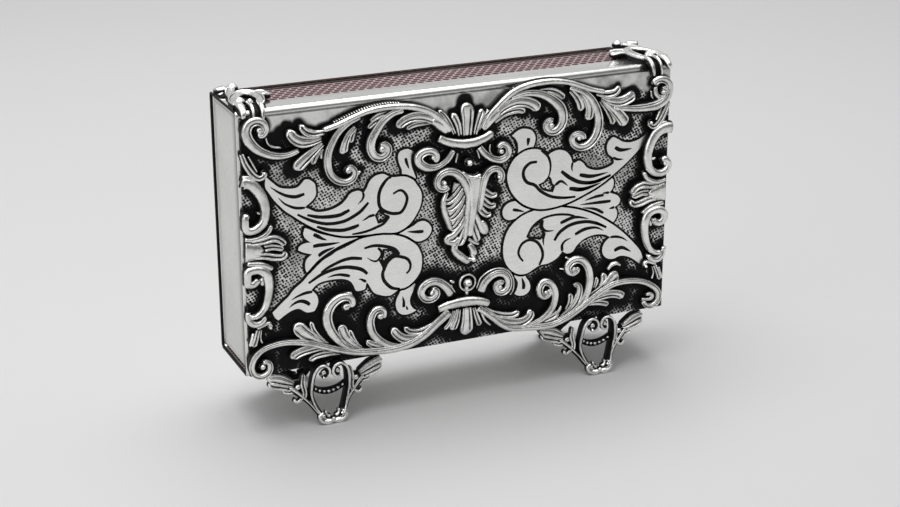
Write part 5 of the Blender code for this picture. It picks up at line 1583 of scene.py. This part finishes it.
# Corner mounts, in mm: out from the middle, back from the case's front, up from its top
cornerMount = {
    "relief": 1.75 * mm,
    "pearlFoot": 0.2 * mm,  # how high a pearl's foot stands on the case
    "strokes": [
        # black beds under the rest, painted shade in the gaps beneath them
        ([(52.6, 0.8, 0), (52.4, 6, 0), (52, 10.4, 0)], (6, 7.2, 5), 0.2, "bed"),
        ([(54.2, 12.8, 0), (53.6, 15.6, 0), (52.4, 18.2, 0)], (3.6, 4.6, 4), 0.2, "bed"),
        # the hood round the front knobs
        ([(55.6, 1.4, 0.1), (55.5, 5, 0.1), (54, 8.8, 0.1), (51.5, 10.9, 0.1), (49.5, 9.8, 0.1),
          (48.8, 6.8, 0.1), (49.2, 3.6, 0), (50.1, 1.2, -0.1)], (2, 2.7, 1.8), 1, "stem"),
        # the leaf that points inwards
        ([(50.3, 9.6, 0), (47.7, 10.1, 0), (44.9, 10, 0)], (3, 4.4, 3.8), 0.85, "lobe"),
        ([(50, 12, 0), (47.9, 12.6, 0), (46, 12.4, 0)], (1.2, 1.6, 1.2), 0.6, "feather"),
        # the band back to the far knob, and the bar beside that
        ([(54.1, 9, 0), (54, 12.4, 0.1), (53, 15.4, 0), (51.9, 17.4, 0)],
         (2.5, 2.2, 2.4), 0.85, "stem"),
        ([(56.2, 16.4, 0), (54.9, 16.8, 0), (53, 17.2, 0)], (2, 2.7, 2), 1, "band"),
        ([(56.1, 14.2, 0), (55.3, 14.6, 0), (54.6, 15.2, 0)], (0.8, 1, 0.8), 0.5, "wire"),
    ],
    "pearls": [(53.7, 5.6, 1.4), (51.5, 18.5, 1.45), (51.9, 3.6, 0.9)],
    # flutes over the front edge: out at the front, out on top, width, drop down the face
    "flutes": [(50.9, 50.1, 1.3, 2.7, "band"), (51.9, 51.6, 2.4, 2.4, "bed"),
               (53, 52.6, 0.9, 2.7, "band"), (55.3, 55, 2.3, 1.2, "band")],
    "run": 3.4,
}


def makeCornerMount(name, way, node):
    settings = cornerMount
    casting = Casting(name)
    for points, widths, share, section in settings["strokes"]:
        line = smoothLine([
            (way * x * mm, caseLow.y + y * mm, caseTop + z * mm) for x, y, z in points
        ], curveStep * mm)
        height = settings["relief"] * share
        casting.stroke(line, (0, 0, 1), [width * mm for width in widths],
                       (0.9 * height, height, height), section)
    for x, y, radius in settings["pearls"]:
        casting.boss((way * x * mm, caseLow.y + y * mm, caseTop + settings["pearlFoot"]),
                     (0, 0, 1), radius * mm, settings["relief"] * 0.95)
    front = faceY - 0.1 * mm
    for frontOut, topOut, width, drop, section in settings["flutes"]:
        sideView = [(front, caseTop - drop * mm), (front, caseTop - 0.55 * drop * mm),
                    (caseLow.y - 0.5 * mm, caseTop - 0.2 * mm),
                    (caseLow.y + settings["run"] * mm / 2, caseTop + 0.1 * mm),
                    (caseLow.y + settings["run"] * mm, caseTop)]
        points = []
        directions = []
        for index, (y, z) in enumerate(sideView):
            t = index / (len(sideView) - 1)
            points.append((way * (frontOut + (topOut - frontOut) * t) * mm, y, z))
            directions.append((0, t - 1, t))
        line = smoothLine(points, 0.3 * mm)
        outward = np.stack([
            np.interp(np.linspace(0, 1, len(line)), np.linspace(0, 1, len(directions)),
                      [direction[axis] for direction in directions]) for axis in range(3)
        ], axis=1)
        casting.stroke(line, outward, (width * 0.55 * mm, width * mm, width * 0.9 * mm),
                       [settings["relief"] * share * (0.3 if section == "bed" else 1)
                        for share in (0.7, 1, 0.95)], section, roundStart=True)
    casting.finish(node)


makeCornerMount("topLeftShellMount", -1, "top_left_corner_mount")
makeCornerMount("topRightShellMount", 1, "top_right_corner_mount")


# Feet, in mm round a foot's own middle: out, up from the case's foot, forward of the case.
# The forward number is where a bar's back lies.
footCasting = {
    "middle": 36.5,
    "step": 0.3 * mm,
    "pearlHeight": 0.9 * mm,
    "strokes": [
        # the loop's bars with their volutes
        ([(1.2, -13, 3.1), (3.2, -10.4, 1.2), (4.5, -7, 0.2), (4.6, -3.6, 0.8), (4, -0.3, 1.4),
          (2.6, 1.2, 1.6), (1.1, 0.8, 1.6), (0.6, -0.6, 1.6), (1.4, -1.7, 1.6),
          (2.4, -1.3, 1.6)], (0.8, 0.9, 1.2), 2.6, "bar"),
        # black webs of the bracket between the loop and the wing, oxide and painted shade
        ([(5.2, -4.6, -1.3), (7.2, -4.9, -1.3), (9.6, -4.2, -1.3)], (3.2, 2.8, 1.8), 1.6, "bed"),
        ([(6.2, -5.2, -1.1), (5.5, -7.6, -0.5), (4.7, -9.2, 0.4)], (2.8, 1.8, 0.9), 1.5, "bed"),
        # the wing's curled leaf, with a lobe under it
        ([(8.2, -3.8, -1.2), (10.4, -2.8, -1.4), (12.8, -1.8, -1.5), (14.8, -1.4, -1.6)],
         (1.6, 3, 2.8), 2.3, "lobe"),
        ([(9.6, -4.6, -1.2), (11.6, -4.1, -1.4), (13.6, -3.5, -1.5), (14.6, -2.7, -1.5)],
         (1.2, 1.9, 1.5), 2.1, "feather"),
        ([(8, -5.2, -1.1), (9.8, -5.5, -1.1), (11.2, -5.1, -1.2)], (1, 1.4, 1.1), 1.9, "feather"),
        # the outer leg
        ([(9.6, -4.6, -0.8), (7.6, -6.3, -0.2), (5.2, -8.8, 0.6), (3.2, -11.5, 2.2),
          (1.6, -13, 3.2)], (1.5, 0.9, 0.9), 1.5, "bar"),
        # the spiky leaf outside each arm
        ([(6, -1.6, -0.8), (6.3, -3.8, -0.5), (6, -6.2, -0.1), (6.6, -8.2, 0)], (0.9, 1.5, 1.1),
         1.6, "feather"),
        ([(6.4, -7.2, -0.1), (7.6, -8.3, -0.1), (8.6, -8, -0.1), (8.3, -7.2, -0.1)],
         (1, 1.1, 0.8), 1.5, "band"),
        # the scrolled toe
        ([(0.2, -13.1, 3.6), (1.8, -13.3, 3.7), (3.1, -12.6, 3.5), (3.3, -11.5, 3.2),
          (2.4, -10.9, 3)], (1.3, 1.2, 1), 1.5, "wire"),
        ([(0.4, -12, 3.3), (1.5, -11.6, 3.1), (1.7, -10.6, 2.8)], (1, 0.9, 0.7), 1.3, "wire"),
    ],
    "pearls": [(7.5, -4.7, 0.1, 0.85), (2.4, -11.8, 3.9, 0.65), (1.7, -0.6, 2.9, 0.85),
               (1.2, -6.3, 1.1, 0.55), (2.4, -5.9, 1.2, 0.55), (3.5, -5.2, 1.3, 0.5)],
    "middlePearls": [(0, -6.5, 1.1, 0.6), (0, -12.6, 4.3, 0.6)],
    "necklace": ([(-4.8, -4.3, 1.1), (-2.6, -5.9, 0.7), (0, -6.5, 0.6), (2.6, -5.9, 0.7),
                  (4.8, -4.3, 1.1)], (1.2, 1.7, 1.2), 1, "bed"),
    "sole": ([(-3, -12.9, 3.1), (0, -13.1, 3.1), (3, -12.9, 3.1)], (1.4, 1.4, 1.4), 1.8, "wire"),
}


def makeFoot(name, way, side, node):
    settings = footCasting
    casting = Casting(name)
    lowest = -caseFoot / mm

    def spot(x, z, y):
        return (way * settings["middle"] * mm + x * mm, side * (caseHigh.y + y * mm),
                caseFoot + max(z, lowest) * mm)

    def draw(points, widths, depth, section, mirror):
        line = smoothLine([spot(mirror * x, z, y) for x, z, y in points],
                          settings["step"])
        casting.stroke(line, (0, side, 0), [width * mm for width in widths],
                       (depth * mm,) * 3, section, roundStart=True, flip=-mirror * side)

    for points, widths, depth, section in settings["strokes"]:
        for mirror in (1, -1):
            draw(points, widths, depth, section, mirror)
    draw(*settings["necklace"], 1)
    draw(*settings["sole"], 1)
    for x, z, y, radius in settings["pearls"]:
        for mirror in (1, -1):
            casting.boss(spot(mirror * x, z, y), (0, side, 0), radius * mm,
                         settings["pearlHeight"])
    for x, z, y, radius in settings["middlePearls"]:
        casting.boss(spot(x, z, y), (0, side, 0), radius * mm, settings["pearlHeight"])
    casting.finish(node)


for way, end in ((-1, "left"), (1, "right")):
    for side, face in ((-1, "front"), (1, "back")):
        makeFoot(face + end.capitalize() + "ScrollFoot", way, side,
                 face + "_" + end + "_foot")
print("corner mounts and feet made")


# Stage, lights and camera
studio = {
    "cameraPlace": (-0.17445, -0.40295, 0.19589),
    "cameraYaw": 23.52,
    "cameraPitch": 20.3,
    "cameraRoll": 0.17,
    "focalLength": 74.5,
    "filmWidth": 36,
    "floorSize": 8,
    "floorTone": (0.72, 0.72, 0.72),
    "floorCloud": (0.6984, 0.6984, 0.6984),
    "worldTone": 0.62,
    "worldLight": 0.38,
    "mirrored": {"back": 0.62, "front": 0.21, "left": 0.8, "above": 1.6},
    "aim": (0, 0, 0.03),
    # name, place, width and depth, power
    "softboxes": [("overheadSoftbox", (-0.05, 0.12, 0.75), (0.8, 0.6), 4.2),
                  ("leftSoftbox", (-0.7, -0.3, 0.5), (0.5, 0.7), 1)],
}


def makeStage():
    bpy.ops.object.select_all(action="DESELECT")
    bpy.ops.mesh.primitive_plane_add(size=studio["floorSize"], location=(0, 0, 0))
    floor = bpy.context.object
    floor.name = "paleFloor"
    finish = Finish("pale floor", roughness=0.6)
    cloud = finish.noise(0.4, 2)
    finish.use("Base Color", finish.mix(cloud, studio["floorCloud"], studio["floorTone"]))
    floor.data.materials.append(finish.material)


class World(Finish):
    # the studio room round the stage, made with the same calls as a finish
    def __init__(self):
        self.world = bpy.data.worlds.new("studio")
        bpy.context.scene.world = self.world
        self.world.use_nodes = True
        self.tree = self.world.node_tree
        self.tree.nodes.clear()


def makeWorld():
    # lights the stage evenly; mirrors show a pale wall behind and a dim room in front
    settings = studio["mirrored"]
    room = World()
    x, y, z = room.axes(room.node("TexCoord", output="Generated"))
    wall = settings["front"] + y.ramp(-0.35, 0.25) * (settings["back"] - settings["front"])
    mirrored = wall.most(z.ramp(0.4, 0.9) * settings["above"])
    mirrored = mirrored.most((x * -1).ramp(0.45, 0.85) * settings["left"])
    cameraRay = room.node("LightPath", output="Is Camera Ray")
    glossyRay = room.node("LightPath", output="Is Glossy Ray")
    level = (cameraRay * studio["worldTone"] + glossyRay * mirrored
             + (1 - cameraRay) * (1 - glossyRay) * studio["worldLight"])
    background = room.node("Background", None, {"Color": (1, 1, 1, 1), "Strength": level})
    room.node("OutputWorld", None, {"Surface": background}, None)


def addSoftbox(name, place, size, power):
    lamp = bpy.data.lights.new(name, "AREA")
    lamp.shape = "RECTANGLE"
    lamp.size, lamp.size_y = size
    lamp.energy = power
    box = bpy.data.objects.new(name, lamp)
    bpy.context.scene.collection.objects.link(box)
    box.location = place
    aim = Vector(studio["aim"]) - Vector(place)
    box.rotation_euler = aim.to_track_quat("-Z", "Y").to_euler()


def makeCamera():
    settings = studio
    camera = bpy.data.cameras.new("camera")
    camera.lens = settings["focalLength"]
    camera.sensor_width = settings["filmWidth"]
    camera.clip_start = 0.01
    view = bpy.data.objects.new("camera", camera)
    bpy.context.scene.collection.objects.link(view)
    turn = (Matrix.Rotation(-math.radians(settings["cameraYaw"]), 4, "Z")
            @ Matrix.Rotation(math.pi / 2 - math.radians(settings["cameraPitch"]), 4, "X")
            @ Matrix.Rotation(-math.radians(settings["cameraRoll"]), 4, "Z"))
    view.matrix_world = Matrix.Translation(settings["cameraPlace"]) @ turn
    bpy.context.scene.camera = view


makeStage()
makeWorld()
for softbox in studio["softboxes"]:
    addSoftbox(*softbox)
makeCamera()
bpy.context.scene.view_settings.view_transform = "Standard"
print("studio made")
